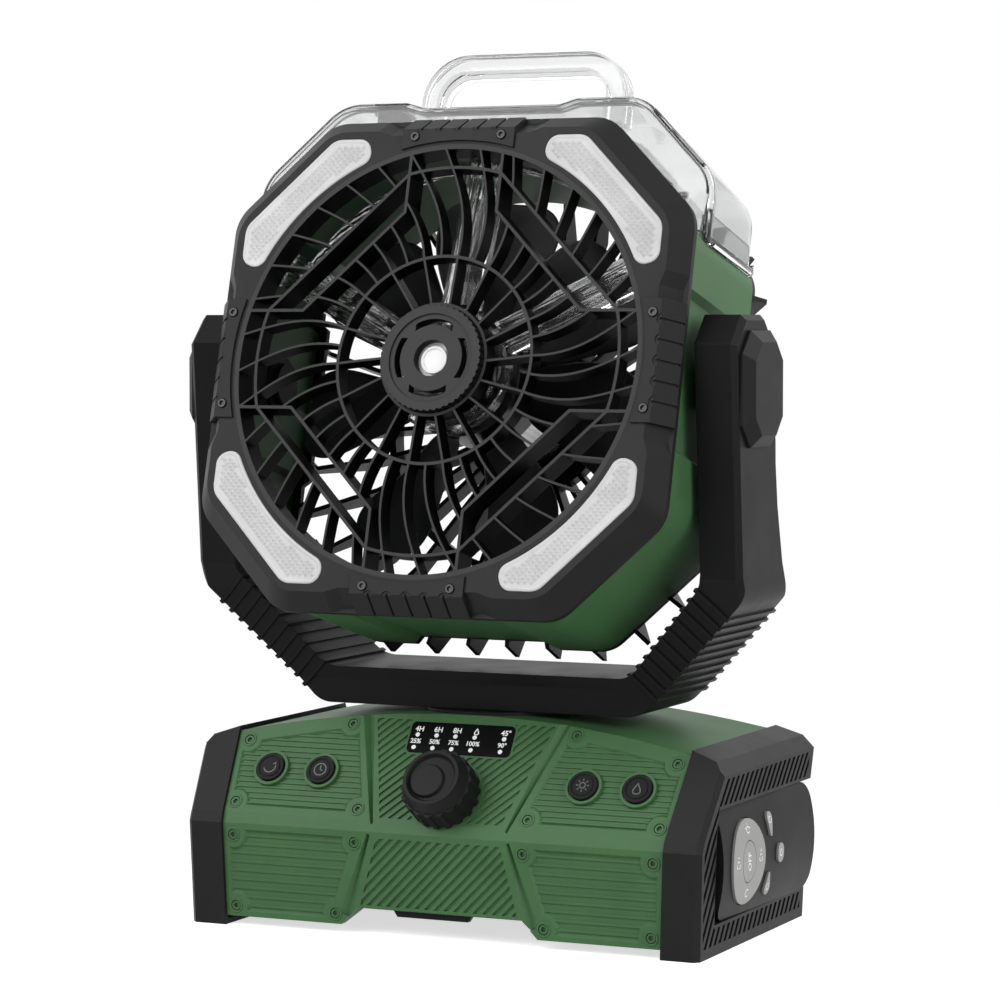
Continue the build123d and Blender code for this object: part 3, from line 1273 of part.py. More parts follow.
def grille_hub():
    """Knurled ring round a slotted disc with a bore for the nozzle."""
    knurl = Circle(HUB_RING_R - 0.2)
    for i in range(KNURL_NUMBER):
        knurl -= Pos(*on_circle(HUB_RING_R + 0.1, 360 / KNURL_NUMBER * i)) * Circle(0.8)
    hub = front_slab(knurl - Circle(HUB_DISC_R), -HUB_PROUD, GRILLE_DEPTH)
    disc = Circle(HUB_DISC_R) - Circle(HUB_BORE_R)
    for i in range(4):
        sector = Rot(0, 0, 90 * i) * Pos(0, HUB_SLOT_R) * Rectangle(HUB_SLOT_LENGTH, 12)
        disc -= ring(HUB_SLOT_R, HUB_SLOT_WIDTH) & sector
    hub += front_slab(disc, -HUB_PROUD + 0.8, 2)
    return in_head(hub)


def mist_nozzle():
    """White nozzle in the hub's bore, fed from the manifold."""
    nozzle = along_y(rod(NOZZLE_R, NOZZLE_FRONT, MANIFOLD_FRONT)) + along_y(rod(HUB_BORE_R + 2, 2, 4))
    nozzle -= along_y(rod(NOZZLE_R - 1.2, NOZZLE_FRONT - 1, NOZZLE_FRONT + 0.4))
    nozzle -= along_y(rod(NOZZLE_BORE_R, NOZZLE_FRONT + NOZZLE_FACE + 0.4, MANIFOLD_FRONT + 1))
    return in_head(nozzle)


def mist_manifold():
    """Clear ring behind the hub with three flat arms out to the duct."""
    arms = Circle(MANIFOLD_R)
    for angle in MANIFOLD_ANGLES:
        reach = BEZEL_BORE_R - 0.2
        arm = Pos(0, reach / 2) * Rectangle(MANIFOLD_ARM, reach)
        arms += Rot(0, 0, -angle) * arm
    arms &= Circle(BEZEL_BORE_R - 0.4)
    plate = front_slab(arms, MANIFOLD_FRONT, MANIFOLD_FRONT + MANIFOLD_DEEP)
    hollow = offset(arms, -MANIFOLD_WALL)
    plate -= front_slab(hollow, MANIFOLD_FRONT + MANIFOLD_WALL, MANIFOLD_FRONT + MANIFOLD_DEEP - MANIFOLD_WALL)
    plate -= along_y(rod(NOZZLE_R - 2, MANIFOLD_FRONT - 1, MANIFOLD_FRONT + MANIFOLD_WALL + 1))
    return in_head(plate)


# ---------------------------------------------------------------- shell and rear grille
def shell_outline(inset=0.0):
    """Octagon of the shell with a shallow recess in its right, left and lower flats."""
    deep, far = SHELL_HALF - SHELL_NOTCH, SHELL_HALF + 1
    wide = SHELL_NOTCH_HALF + SHELL_NOTCH_SLOPE
    notch = face([(deep, -SHELL_NOTCH_HALF), (far, -wide), (far, wide), (deep, SHELL_NOTCH_HALF)])
    outline = octagon(SHELL_HALF, SHELL_SUM, CORNER_R - 2) - [Rot(0, 0, turn) * notch for turn in (0, 180, 270)]
    return offset(outline, -inset, kind=Kind.INTERSECTION) if inset else outline


def slab_between(near, far, low=-200.0, high=200.0):
    """Whole slice of space between two depths and two heights."""
    return Pos(0, (near + far) / 2, (low + high) / 2) * Box(400, far - near, high - low)


def head_shell():
    """Green housing of the fan, cut away above for the tank, over a round duct roof."""
    skin = front_slab(shell_outline() - shell_outline(SHELL_WALL), BEZEL_DEPTH, SHELL_BACK)
    skin -= slab_between(COLLAR_BACK, SHELL_BACK + 1, TANK_LEDGE_W)
    inside = front_slab(shell_outline(SHELL_WALL / 2), BEZEL_DEPTH, SHELL_BACK)
    roof = along_y(tube(DUCT_R + SHELL_WALL, DUCT_R, BEZEL_DEPTH, SHELL_BACK))
    roof &= slab_between(BEZEL_DEPTH, SHELL_BACK, TANK_LEDGE_W - SHELL_WALL)
    block = along_y(rod(DUCT_R + SHELL_WALL / 2, 0, 200))
    ledge = inside & slab_between(BEZEL_DEPTH, SHELL_BACK, TANK_LEDGE_W - SHELL_WALL, TANK_LEDGE_W)
    bulkhead = inside & slab_between(COLLAR_BACK - SHELL_WALL, COLLAR_BACK, TANK_LEDGE_W - SHELL_WALL)
    shell = skin + roof + (ledge - block) + (bulkhead - block)
    for turn in (0, 180):
        place = Pos(0, PIVOT_DEPTH, 0) * Rot(0, 0, turn)
        shell -= place * along_x(rod(HUB_R - 3, HUB_END_X, SHELL_HALF + 5))
    valve_hole = rod(VALVE_R + SLIDING, TANK_LEDGE_W - 10, TANK_LEDGE_W + 1)
    shell -= Pos(VALVE_PLACE[0], VALVE_PLACE[1], 0) * valve_hole
    return in_head(shell)


def pivot_hubs():
    """Flanged hub inside each side of the shell, bored for the pivot pin."""
    hubs = []
    face_x = SHELL_HALF - SHELL_NOTCH - SHELL_WALL
    for turn in (0, 180):
        hub = tube(HUB_R - 3.2, PIN_R + RUNNING, PIN_END_X - 1, YOKE_X - ARM_THICK - PIVOT_BOSS - SLIDING)
        hub += tube(HUB_R, PIN_R + RUNNING, PIN_END_X, face_x)
        hub += rod(HUB_R - 3.2, HUB_END_X - 1, PIN_END_X - RUNNING)
        hubs.append(in_head(Pos(0, PIVOT_DEPTH, 0) * Rot(0, 0, turn) * along_x(hub)))
    return group(hubs)


def rear_envelope(inset):
    """Rear grille's outer form: swells behind the shell, then narrows."""
    swell = SHELL_BACK + 11
    first = tapered(octagon(SHELL_HALF - inset, SHELL_SUM - 1.414 * inset, CORNER_R - 2),
                    octagon(FIN_REACH_HALF - inset, FIN_REACH_SUM - 1.414 * inset, CORNER_R - 2), SHELL_BACK, swell)
    last = tapered(octagon(FIN_REACH_HALF - inset, FIN_REACH_SUM - 1.414 * inset, CORNER_R - 2),
                   octagon(REAR_HALF - inset, REAR_SUM - 1.414 * inset, CORNER_R - 2), swell, REAR_DEPTH - inset)
    return first + last


def rear_grille():
    """Black rear guard: radial fins between a frame, a ring and the motor's plate."""
    cage = rear_envelope(0) - rear_envelope(FIN_DEEP)
    blade = Pos(0, SHELL_BACK + 12, REAR_PLATE_R + 46) * Box(FIN_THICK, 60, 100)
    blades = Part() + [Rot(0, 360 / FIN_NUMBER * (i + 0.5), 0) * blade for i in range(FIN_NUMBER)]
    fins = cage & blades
    frame = shell_back_ring(SHELL_BACK, SHELL_BACK + 3)
    back = REAR_DEPTH
    plate = along_y(rod(REAR_PLATE_R, back - REAR_PLATE_THICK, back))
    ring_r = REAR_RING_R
    hoop = along_y(tube(ring_r + 1.5, ring_r - 1.5, back - FIN_DEEP, back)) & rear_envelope(0.4)
    return in_head(plate + [hoop, frame] + list(fins.solids()))


def shell_back_ring(near, far):
    outer = shell_outline()
    return front_slab(outer - shell_outline(FRAME_WIDTH), near, far)


# ================================================================ rotor and motor
def blade_section(radius, chord, pitch, shift):
    """Cambered section of a blade across the radius."""
    half = chord / 2
    camber = chord * 0.06
    top = ThreePointArc((-half, 0), (0, camber + BLADE_THICK / 2), (half, 0))
    bottom = ThreePointArc((half, 0), (0, camber - BLADE_THICK / 2), (-half, 0))
    middle = FAN_FRONT + FAN_DEPTH / 2
    return Pos(shift, middle, radius) * Rot(0, 0, pitch) * make_face(top + bottom)


def fan_blade():
    """Twisted blade with a rounded tip."""
    sections = [blade_section(*section) for section in BLADE_SECTIONS]
    last = BLADE_SECTIONS[-1]
    tip = blade_section(FAN_TIP_R, last[1] * 0.5, last[2], last[3] + 1)
    shoulder = blade_section(last[0] + (FAN_TIP_R - last[0]) * 0.65, last[1] * 0.86, last[2], last[3] + 0.6)
    return loft(sections + [shoulder, tip])


def fan_rotor():
    """Hub cup with twisted blades."""
    back = FAN_FRONT + FAN_DEPTH
    hub = along_y(rod(FAN_HUB_R, FAN_FRONT, back) - rod(FAN_HUB_R - FAN_CUP, FAN_FRONT + 4, back + 1))
    hub += along_y(rod(6, FAN_FRONT + 1, back - 2))
    hub -= along_y(rod(SHAFT_R, FAN_FRONT + 2, back))
    blade = fan_blade()
    for i in range(FAN_BLADES):
        hub += Rot(0, FAN_PHASE + 360 / FAN_BLADES * i, 0) * blade - along_y(rod(FAN_HUB_R - 1, 0, 100))
    return in_head(hub)


def rotor_shaft():
    return in_head(along_y(rod(SHAFT_R, FAN_FRONT + 2, SHAFT_END)))


def fan_motor():
    """Round motor on the rear grille's plate, bored for the shaft."""
    back = REAR_DEPTH - REAR_PLATE_THICK
    body = rod(MOTOR_R, MOTOR_FRONT + 4, back) + rod(MOTOR_R - 6, MOTOR_FRONT, back)
    return in_head(along_y(body - rod(SHAFT_R + RUNNING, MOTOR_FRONT - 1, SHAFT_END + RUNNING)))


# ================================================================ water tank
def tank_floor():
    return TANK_LEDGE_W + TANK_GAP


def tank_front(inset=0.0):
    """Saddle-shaped tank seen from the front."""
    roof_r = DUCT_R + SHELL_WALL + TANK_GAP + inset
    floor = tank_floor() + inset
    half = TANK_HALF - inset
    top = TANK_TOP - inset
    total = TANK_SUM - 1.414 * inset
    foot_x = sqrt(roof_r ** 2 - floor ** 2)
    right = [
        (foot_x, floor), (half, floor), (half, total - half), (total - top, top),
        (DIP_HALF + DIP_SLOPE, top), (DIP_HALF, top - TANK_DIP),
    ]
    saddle = ThreePointArc((-foot_x, floor), (0, roof_r), (foot_x, floor))
    outline = make_face(Polyline(*right, *mirrored(right)) + saddle)
    corners = [v for v in outline.vertices() if abs(v.X) > DIP_HALF + 12 and v.Y > floor + 1]
    return fillet(corners, TANK_CORNER - inset)


def water_tank():
    """Clear saddle-shaped tank with a front rim, a filler hole above and a valve hole below."""
    tank = front_slab(tank_front(), TANK_FRONT, TANK_BACK)
    tank -= front_slab(tank_front(TANK_WALL), TANK_FRONT + TANK_WALL, TANK_BACK - TANK_WALL)
    tank -= Pos(*FILLER_PLACE, 0) * rod(FILLER_R, TANK_TOP - 8, TANK_TOP + 5)
    tank -= Pos(*VALVE_PLACE, 0) * rod(VALVE_R, TANK_LEDGE_W - 2, tank_floor() + 6)
    return in_head(tank)


def tank_valve():
    """Valve in the tank's foot, reaching through the shell's ledge."""
    valve = tube(VALVE_R, 1.5, TANK_LEDGE_W - 6, tank_floor() + TANK_WALL)
    valve += tube(VALVE_R + 2, 1.5, tank_floor() + TANK_WALL, tank_floor() + TANK_WALL + 1.5)
    return in_head(Pos(*VALVE_PLACE, 0) * valve)


def filler_cap():
    """Stopper in the tank's filler hole."""
    cap = rod(FILLER_R - RUNNING, TANK_TOP - TANK_WALL - 3, TANK_TOP + SLIDING)
    cap += rod(FILLER_R + 1.8, TANK_TOP + SLIDING, TANK_TOP + SLIDING + 1.2)
    return in_head(Pos(*FILLER_PLACE, 0) * cap)


def carry_handle():
    """Arched handle on the tank, grooved lengthways."""
    half, top = HANDLE_OUT
    outer = fillet_top(face([(-half, TANK_TOP), (half, TANK_TOP), (half, top), (-half, top)]), HANDLE_CORNER)
    half, top = HANDLE_IN
    low = TANK_TOP - 10
    inner = fillet_top(face([(-half, low), (half, low), (half, top), (-half, top)]), HANDLE_INNER_CORNER)
    near, far = HANDLE_DEPTH - HANDLE_THICK / 2, HANDLE_DEPTH + HANDLE_THICK / 2
    arch = outer - inner
    handle = front_slab(arch, near, far)
    thin = offset(outer, -HANDLE_GROOVE)
    for shift in (-0.22, 0.22):
        middle = HANDLE_DEPTH + shift * HANDLE_THICK
        handle -= front_slab(outer - thin, middle - 0.7, middle + 0.7) & slab_between(near, far, TANK_TOP + 3)
    return in_head(handle)


def fillet_top(outline, radius):
    """Rounds the two upper corners of a rectangle."""
    highest = max(v.Y for v in outline.vertices())
    return fillet([v for v in outline.vertices() if v.Y > highest - 0.1], radius)


# ================================================================ everything
def write_all():
    os.makedirs("parts", exist_ok=True)
    write("base_housing", base_housing())
    write("bottom_plate", bottom_plate())
    write("rubber_feet", rubber_feet())
    write("end_cap_right", end_cap(True))
    write("end_cap_left", left_cap())
    write("panel_screws", panel_screws())
    write("indicator_panel", indicator_panel())
    write("control_board", control_board())
    write("button_switches", button_switches())
    write("potentiometer", potentiometer())
    write("battery_cells", battery_cells())
    write("battery_holder", battery_holder())
    write("charge_socket", charge_socket())
    write("swivel_motor", swivel_motor())
    write("swivel_bearing", swivel_bearing())
    write("swivel_collar", swivel_collar())
    write("speed_knob", speed_knob())
    write("knob_shaft", knob_shaft())
    for name, x in zip(("swing", "timer", "light", "mist"), BUTTON_X):
        write(f"button_{name}", push_button(x))
    write("remote_upper_case", remote_upper_case())
    write("remote_lower_case", remote_lower_case())
    write("remote_board", remote_board())
    write("remote_cell", remote_cell())
    write("remote_ring_key", remote_key("ring"))
    write("remote_off_key", remote_key("centre"))
    for i in range(len(SMALL_KEYS)):
        write(f"remote_key_{i + 1}", remote_key(i))
    write("drive_pinion", drive_pinion())
    write("swivel_gear", swivel_gear())
    write("swivel_spindle", swivel_spindle())
    write("spindle_nut", spindle_nut())
    write("yoke_frame", yoke_frame())
    write("pivot_pins", pivot_pins())
    cover = pivot_cover()
    write("pivot_cover_right", cover)
    write("pivot_cover_left", mirror(cover, Plane.YZ))
    write("bezel", bezel())
    write("lamp_lenses", lamp_lenses())
    write("lamp_boards", lamp_boards())
    write("edge_clips", edge_clips())
    write("clip_screws", clip_screws())
    write("front_grille", front_grille())
    write("grille_hub", grille_hub())
    write("mist_nozzle", mist_nozzle())
    write("mist_manifold", mist_manifold())
    write("head_shell", head_shell())
    write("pivot_hubs", pivot_hubs())
    write("rear_grille", rear_grille())
    write("fan_motor", fan_motor())
    write("fan_rotor", fan_rotor())
    write("rotor_shaft", rotor_shaft())
    write("water_tank", water_tank())
    write("tank_valve", tank_valve())
    write("filler_cap", filler_cap())
    write("carry_handle", carry_handle())


write_all()
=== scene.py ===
import bpy
import bmesh
import json
from math import atan2, cos, pi, radians, sin, sqrt, tan
from mathutils import Matrix, Vector

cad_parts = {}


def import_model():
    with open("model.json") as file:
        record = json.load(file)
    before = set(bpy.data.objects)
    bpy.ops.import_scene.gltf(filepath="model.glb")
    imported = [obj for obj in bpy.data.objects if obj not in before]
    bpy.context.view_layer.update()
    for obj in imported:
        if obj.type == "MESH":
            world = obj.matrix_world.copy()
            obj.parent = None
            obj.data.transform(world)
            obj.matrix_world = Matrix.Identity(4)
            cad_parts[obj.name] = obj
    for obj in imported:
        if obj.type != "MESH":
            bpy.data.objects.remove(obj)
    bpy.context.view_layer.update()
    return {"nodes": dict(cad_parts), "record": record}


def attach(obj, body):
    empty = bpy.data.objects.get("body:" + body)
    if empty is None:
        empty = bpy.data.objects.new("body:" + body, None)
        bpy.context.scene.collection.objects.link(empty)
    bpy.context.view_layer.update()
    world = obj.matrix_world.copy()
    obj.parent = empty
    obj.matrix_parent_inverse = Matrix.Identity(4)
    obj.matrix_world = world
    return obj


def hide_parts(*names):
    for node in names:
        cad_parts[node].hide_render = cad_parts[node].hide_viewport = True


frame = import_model()
nodes = frame["nodes"]
scene = bpy.context.scene
MM = 0.001

# ------------------------------------------------------------------ places in mm, as in the CAD model
SLOPE_ANGLE = radians(33.04)
SLOPE_FOOT_Y, RIDGE_Z = -56.8, 46.3
PIVOT = Vector((0.0, -19.4, 219.5))
PIVOT_DEPTH = 43.4
TILT = radians(15.07)
REMOTE_PLACE = Vector((104.4, 8.75, 34.6))
REMOTE_YAW = radians(1.65)
LABEL_Z, LABEL_TOP = 78.1, 0.4
BUTTON_Z, BUTTON_PROUD = 63.3, 1.7
REMOTE_CROWN_R, REMOTE_CROWN_DEPTH = 66.75, -55.35
KEY_RISE = 0.9

SLOPE_UP = Vector((0, sin(SLOPE_ANGLE), cos(SLOPE_ANGLE)))
SLOPE_OUT = Vector((0, -cos(SLOPE_ANGLE), sin(SLOPE_ANGLE)))


def axes_matrix(x_axis, y_axis, z_axis, at):
    """Matrix whose own axes and origin lie as given."""
    m = Matrix.Identity(4)
    for column, vector in enumerate((x_axis, y_axis, z_axis, at)):
        for row in range(3):
            m[row][column] = vector[row]
    return m


def slope_matrix(x, z):
    """x across, y up the slope, z out of it, at height z of the sloping front."""
    at = (x, SLOPE_FOOT_Y + (z - RIDGE_Z) * tan(SLOPE_ANGLE), z)
    return axes_matrix((1, 0, 0), SLOPE_UP, SLOPE_OUT, at)


HEAD = (Matrix.Translation(PIVOT) @ Matrix.Rotation(-TILT, 4, "X")
        @ Matrix.Translation((0, -PIVOT_DEPTH, 0)))
REMOTE = Matrix.Translation(REMOTE_PLACE) @ Matrix.Rotation(-REMOTE_YAW, 4, "Z")


# ------------------------------------------------------------------ camera, light and floor
CAMERA_PLACE = Vector((0.5911, -1.2858, 0.2461))
CAMERA_AZIMUTH, CAMERA_DOWN = radians(24.6643), radians(2.97215)
CAMERA_LENS = 124.64
SOFT_LIGHT = 0.22
FLOOR_SIZE = 6.0
FLOOR_COLOUR = (0.8, 0.8, 0.8, 1)
FLOOR_FADE = (0.16, 0.42)       # the floor turns white between these distances from the middle
FLOOR_LIFT = 0.66               # glow that brings the near floor close to white


def look_from(place, azimuth, down):
    """Camera at a place, turned by its azimuth and looking down a little."""
    direction = Vector((-sin(azimuth) * cos(down), cos(azimuth) * cos(down), -sin(down)))
    data = bpy.data.cameras.new("Camera")
    data.sensor_width = 36.0
    data.lens = CAMERA_LENS
    data.clip_start = 0.05
    camera = bpy.data.objects.new("Camera", data)
    camera.location = place
    camera.rotation_euler = direction.to_track_quat("-Z", "Y").to_euler()
    scene.collection.objects.link(camera)
    scene.camera = camera


def area_light(name, place, target, size, power):
    """Square lamp that faces a point of the object."""
    data = bpy.data.lights.new(name, "AREA")
    data.shape = "RECTANGLE"
    data.size = size
    data.size_y = size
    data.energy = power
    light = bpy.data.objects.new(name, data)
    light.location = place
    light.rotation_euler = (Vector(target) - Vector(place)).to_track_quat("-Z", "Y").to_euler()
    scene.collection.objects.link(light)


look_from(CAMERA_PLACE, CAMERA_AZIMUTH, CAMERA_DOWN)
scene.view_settings.view_transform = "Standard"
area_light("Key", (-0.9, -1.5, 1.5), (0, 0, 0.17), 1.8, 40.0)
area_light("Fill", (1.7, -0.8, 0.8), (0, 0, 0.17), 1.4, 19.0)
area_light("Rim", (1.2, 1.2, 1.3), (0, 0, 0.2), 1.0, 16.0)


class Graph:
    """Shorthand for building a node tree."""

    def __init__(self, tree):
        self.tree = tree
        tree.nodes.clear()

    def add(self, kind, **settings):
        node = self.tree.nodes.new(kind)
        for key, value in settings.items():
            setattr(node, key, value)
        return node

    def link(self, a, b):
        self.tree.links.new(a, b)

    def put(self, value, socket):
        """Links an output to a socket, or sets the socket to a number, a vector or a colour."""
        if isinstance(value, bpy.types.NodeSocket):
            self.link(value, socket)
        elif socket.type == "RGBA":
            socket.default_value = (*value, 1.0)
        else:
            socket.default_value = value

    def math(self, op, a, b, clamp=False):
        node = self.add("ShaderNodeMath", operation=op, use_clamp=clamp)
        self.put(a, node.inputs[0])
        self.put(b, node.inputs[1])
        return node.outputs[0]

    def dot(self, a, b):
        node = self.add("ShaderNodeVectorMath", operation="DOT_PRODUCT")
        self.put(a, node.inputs[0])
        self.put(b, node.inputs[1])
        return node.outputs["Value"]

    def mix_colour(self, factor, a, b):
        node = self.add("ShaderNodeMix", data_type="RGBA")
        for socket, value in zip((node.inputs[0], node.inputs[6], node.inputs[7]), (factor, a, b)):
            self.put(value, socket)
        return node.outputs[2]

    def mix_shaders(self, factor, a, b):
        node = self.add("ShaderNodeMixShader")
        for socket, value in zip(node.inputs, (factor, a, b)):
            self.link(value, socket)
        return node.outputs[0]

    def spread(self, value, low, high, to_low=0.0, to_high=1.0):
        """Maps low..high to to_low..to_high."""
        node = self.add("ShaderNodeMapRange")
        self.link(value, node.inputs["Value"])
        for name, number in (("From Min", low), ("From Max", high), ("To Min", to_low), ("To Max", to_high)):
            node.inputs[name].default_value = number
        return node.outputs[0]

    def noise(self, coords, scale, detail, rough):
        node = self.add("ShaderNodeTexNoise")
        self.link(coords, node.inputs["Vector"])
        node.inputs["Scale"].default_value = scale
        node.inputs["Detail"].default_value = detail
        node.inputs["Roughness"].default_value = rough
        return node.outputs[0]

    def rounded_normal(self, radius, samples):
        node = self.add("ShaderNodeBevel", samples=samples)
        node.inputs["Radius"].default_value = radius
        return node.outputs[0]

    def edge(self, rounded_normal, flat, sharp):
        """0 on a face and 1 on an edge, by how far the rounded normal leaves the true one."""
        true_normal = self.add("ShaderNodeNewGeometry").outputs["True Normal"]
        return self.spread(self.dot(rounded_normal, true_normal), flat, sharp)

    def relief(self, height, strength, distance, normal=None):
        node = self.add("ShaderNodeBump")
        node.inputs["Strength"].default_value = strength
        node.inputs["Distance"].default_value = distance
        self.link(height, node.inputs["Height"])
        if normal is not None:
            self.link(normal, node.inputs["Normal"])
        return node.outputs[0]

    def glow(self, kind, strength):
        """White background or emission."""
        node = self.add(kind)
        node.inputs["Color"].default_value = (1, 1, 1, 1)
        node.inputs["Strength"].default_value = strength
        return node.outputs[0]

    def seen(self):
        """1 for what the camera sees, also in a reflection or through clear plastic."""
        rays = self.add("ShaderNodeLightPath")
        seen = self.math("MAXIMUM", rays.outputs["Is Camera Ray"], rays.outputs["Is Glossy Ray"])
        return self.math("MAXIMUM", seen, rays.outputs["Is Transmission Ray"])

    def finish(self, shader, kind="ShaderNodeOutputMaterial"):
        self.link(shader, self.add(kind).inputs["Surface"])


def new_material(name):
    material = bpy.data.materials.new(name)
    material.use_nodes = True
    return material, Graph(material.node_tree)


def world():
    """Soft even light; what shows behind and in reflections is white."""
    scene.world = bpy.data.worlds.new("World")
    scene.world.use_nodes = True
    g = Graph(scene.world.node_tree)
    soft = g.glow("ShaderNodeBackground", SOFT_LIGHT)
    white = g.glow("ShaderNodeBackground", 1.0)
    g.finish(g.mix_shaders(g.seen(), soft, white), "ShaderNodeOutputWorld")


def floor():
    """Pale floor that turns white away from the object and keeps its shadow."""
    bm = bmesh.new()
    bmesh.ops.create_grid(bm, x_segments=2, y_segments=2, size=FLOOR_SIZE)
    mesh = bpy.data.meshes.new("Floor")
    bm.to_mesh(mesh)
    bm.free()
    obj = bpy.data.objects.new("Floor", mesh)
    scene.collection.objects.link(obj)
    material, g = new_material("FloorPale")
    diffuse = g.add("ShaderNodeBsdfDiffuse")
    diffuse.inputs["Color"].default_value = FLOOR_COLOUR
    reach = g.add("ShaderNodeVectorMath", operation="LENGTH")
    g.link(g.add("ShaderNodeTexCoord").outputs["Object"], reach.inputs[0])
    far = g.spread(reach.outputs["Value"], *FLOOR_FADE)
    shaded = g.add("ShaderNodeAddShader")
    g.link(diffuse.outputs[0], shaded.inputs[0])
    g.link(g.glow("ShaderNodeEmission", FLOOR_LIFT), shaded.inputs[1])
    fade = g.mix_shaders(far, shaded.outputs[0], g.glow("ShaderNodeEmission", 1.0))
    g.finish(g.mix_shaders(g.seen(), diffuse.outputs[0], fade))
    mesh.materials.append(material)


world()
floor()


# ------------------------------------------------------------------ materials
HEAD_FRONT = (0.0, -cos(TILT), sin(TILT))
NOISE_RANGE = (0.3, 0.7)            # where most of a noise texture's values lie
LIT_FRONT_RANGE = (0.85, 0.97)          # how squarely a face has to look out of the head's front to take the painted light
RUBBED_RANGE = (0.42, 0.62)         # the patches in which edges are rubbed
PATCH_SCALE, WAVE_SCALE, SCRATCH_SCALE = 42.0, 28.0, 320.0
CLEAR_IOR = 1.46


def moulded(name, colour, rough, grain=0.00035, bump=0.12, vary=0.10, bevel=0.00035,
            wear=0.25, specular=0.5, metallic=0.0, lit_front_colour=None):
    """Moulded plastic or painted metal: fine grain, uneven gloss and faintly worn edges.

    With a lit front colour, the faces that look out of the head's front take that colour: painted light on
    the faces turned towards the lamps."""
    material, g = new_material(name)
    coords = g.add("ShaderNodeTexCoord").outputs["Object"]
    patches = g.noise(coords, PATCH_SCALE, 4.0, 0.6)
    specks = g.noise(coords, 1.0 / grain, 2.0, 0.5)
    shader = g.add("ShaderNodeBsdfPrincipled")
    light = tuple(min(1.0, c * (1 + vary)) for c in colour)
    dark = tuple(c * (1 - vary) for c in colour)
    body = g.mix_colour(g.spread(patches, *NOISE_RANGE), dark, light)
    if lit_front_colour:
        # painted light: faces turned out of the head's front are made lighter, as if lit
        lit_front_mask = g.dot(g.add("ShaderNodeTexCoord").outputs["Normal"], HEAD_FRONT)
        body = g.mix_colour(g.spread(lit_front_mask, *LIT_FRONT_RANGE), body, lit_front_colour)
    rounded_normal = g.rounded_normal(bevel, 4)
    if wear:
        edge = g.edge(rounded_normal, 0.99, 0.80)
        rubbed = g.math("MULTIPLY", edge, g.spread(patches, *RUBBED_RANGE, 0.15, 1.0))
        worn = tuple(min(1.0, c * 1.7 + 0.012) for c in colour)
        body = g.mix_colour(g.math("MULTIPLY", rubbed, wear, clamp=True), body, worn)
    g.link(body, shader.inputs["Base Color"])
    g.link(g.spread(patches, *NOISE_RANGE, rough - 0.035, rough + 0.045), shader.inputs["Roughness"])
    g.link(g.relief(specks, bump, 0.0002, rounded_normal), shader.inputs["Normal"])
    shader.inputs["Specular IOR Level"].default_value = specular
    shader.inputs["Metallic"].default_value = metallic
    g.finish(shader.outputs[0])
    return material


def clear(name, tint, edge_shade_tint, rough=0.03, edge_width=0.0012):
    """Clear moulded plastic, greyer along its edges as painted shade, with the faint waviness of its mould.
    """
    material, g = new_material(name)
    coords = g.add("ShaderNodeTexCoord").outputs["Object"]
    wave = g.noise(coords, WAVE_SCALE, 2.0, 0.4)
    shader = g.add("ShaderNodeBsdfPrincipled")
    paler = tuple(min(1.0, c + 0.02) for c in tint)
    body = g.mix_colour(g.spread(wave, *NOISE_RANGE), tint, paler)
    # painted shade: a greyer tint along the edges stands in for the dark lines that the rims show
    edge = g.edge(g.rounded_normal(edge_width, 6), 0.995, 0.86)
    g.link(g.mix_colour(edge, body, edge_shade_tint), shader.inputs["Base Color"])
    g.link(g.spread(wave, *NOISE_RANGE, rough, rough + 0.03), shader.inputs["Roughness"])
    g.link(g.relief(wave, 0.02, 0.002), shader.inputs["Normal"])
    shader.inputs["Transmission Weight"].default_value = 1.0
    shader.inputs["IOR"].default_value = CLEAR_IOR
    g.finish(shader.outputs[0])
    return material


def drawn_metal(name, colour, rough=0.28, scale=(1, 1, 40)):
    """Bright metal with fine scratches, drawn out across the axis that has the largest scale."""
    material, g = new_material(name)
    mapping = g.add("ShaderNodeMapping")
    mapping.inputs["Scale"].default_value = scale
    g.link(g.add("ShaderNodeTexCoord").outputs["Object"], mapping.inputs["Vector"])
    lines = g.noise(mapping.outputs[0], SCRATCH_SCALE, 3.0, 0.6)
    shader = g.add("ShaderNodeBsdfPrincipled")
    darker = tuple(c * 0.86 for c in colour)
    g.link(g.mix_colour(lines, darker, colour), shader.inputs["Base Color"])
    g.link(g.spread(lines, *NOISE_RANGE, rough - 0.06, rough + 0.08), shader.inputs["Roughness"])
    g.link(g.relief(lines, 0.08, 0.0001), shader.inputs["Normal"])
    shader.inputs["Metallic"].default_value = 1.0
    g.finish(shader.outputs[0])
    return material


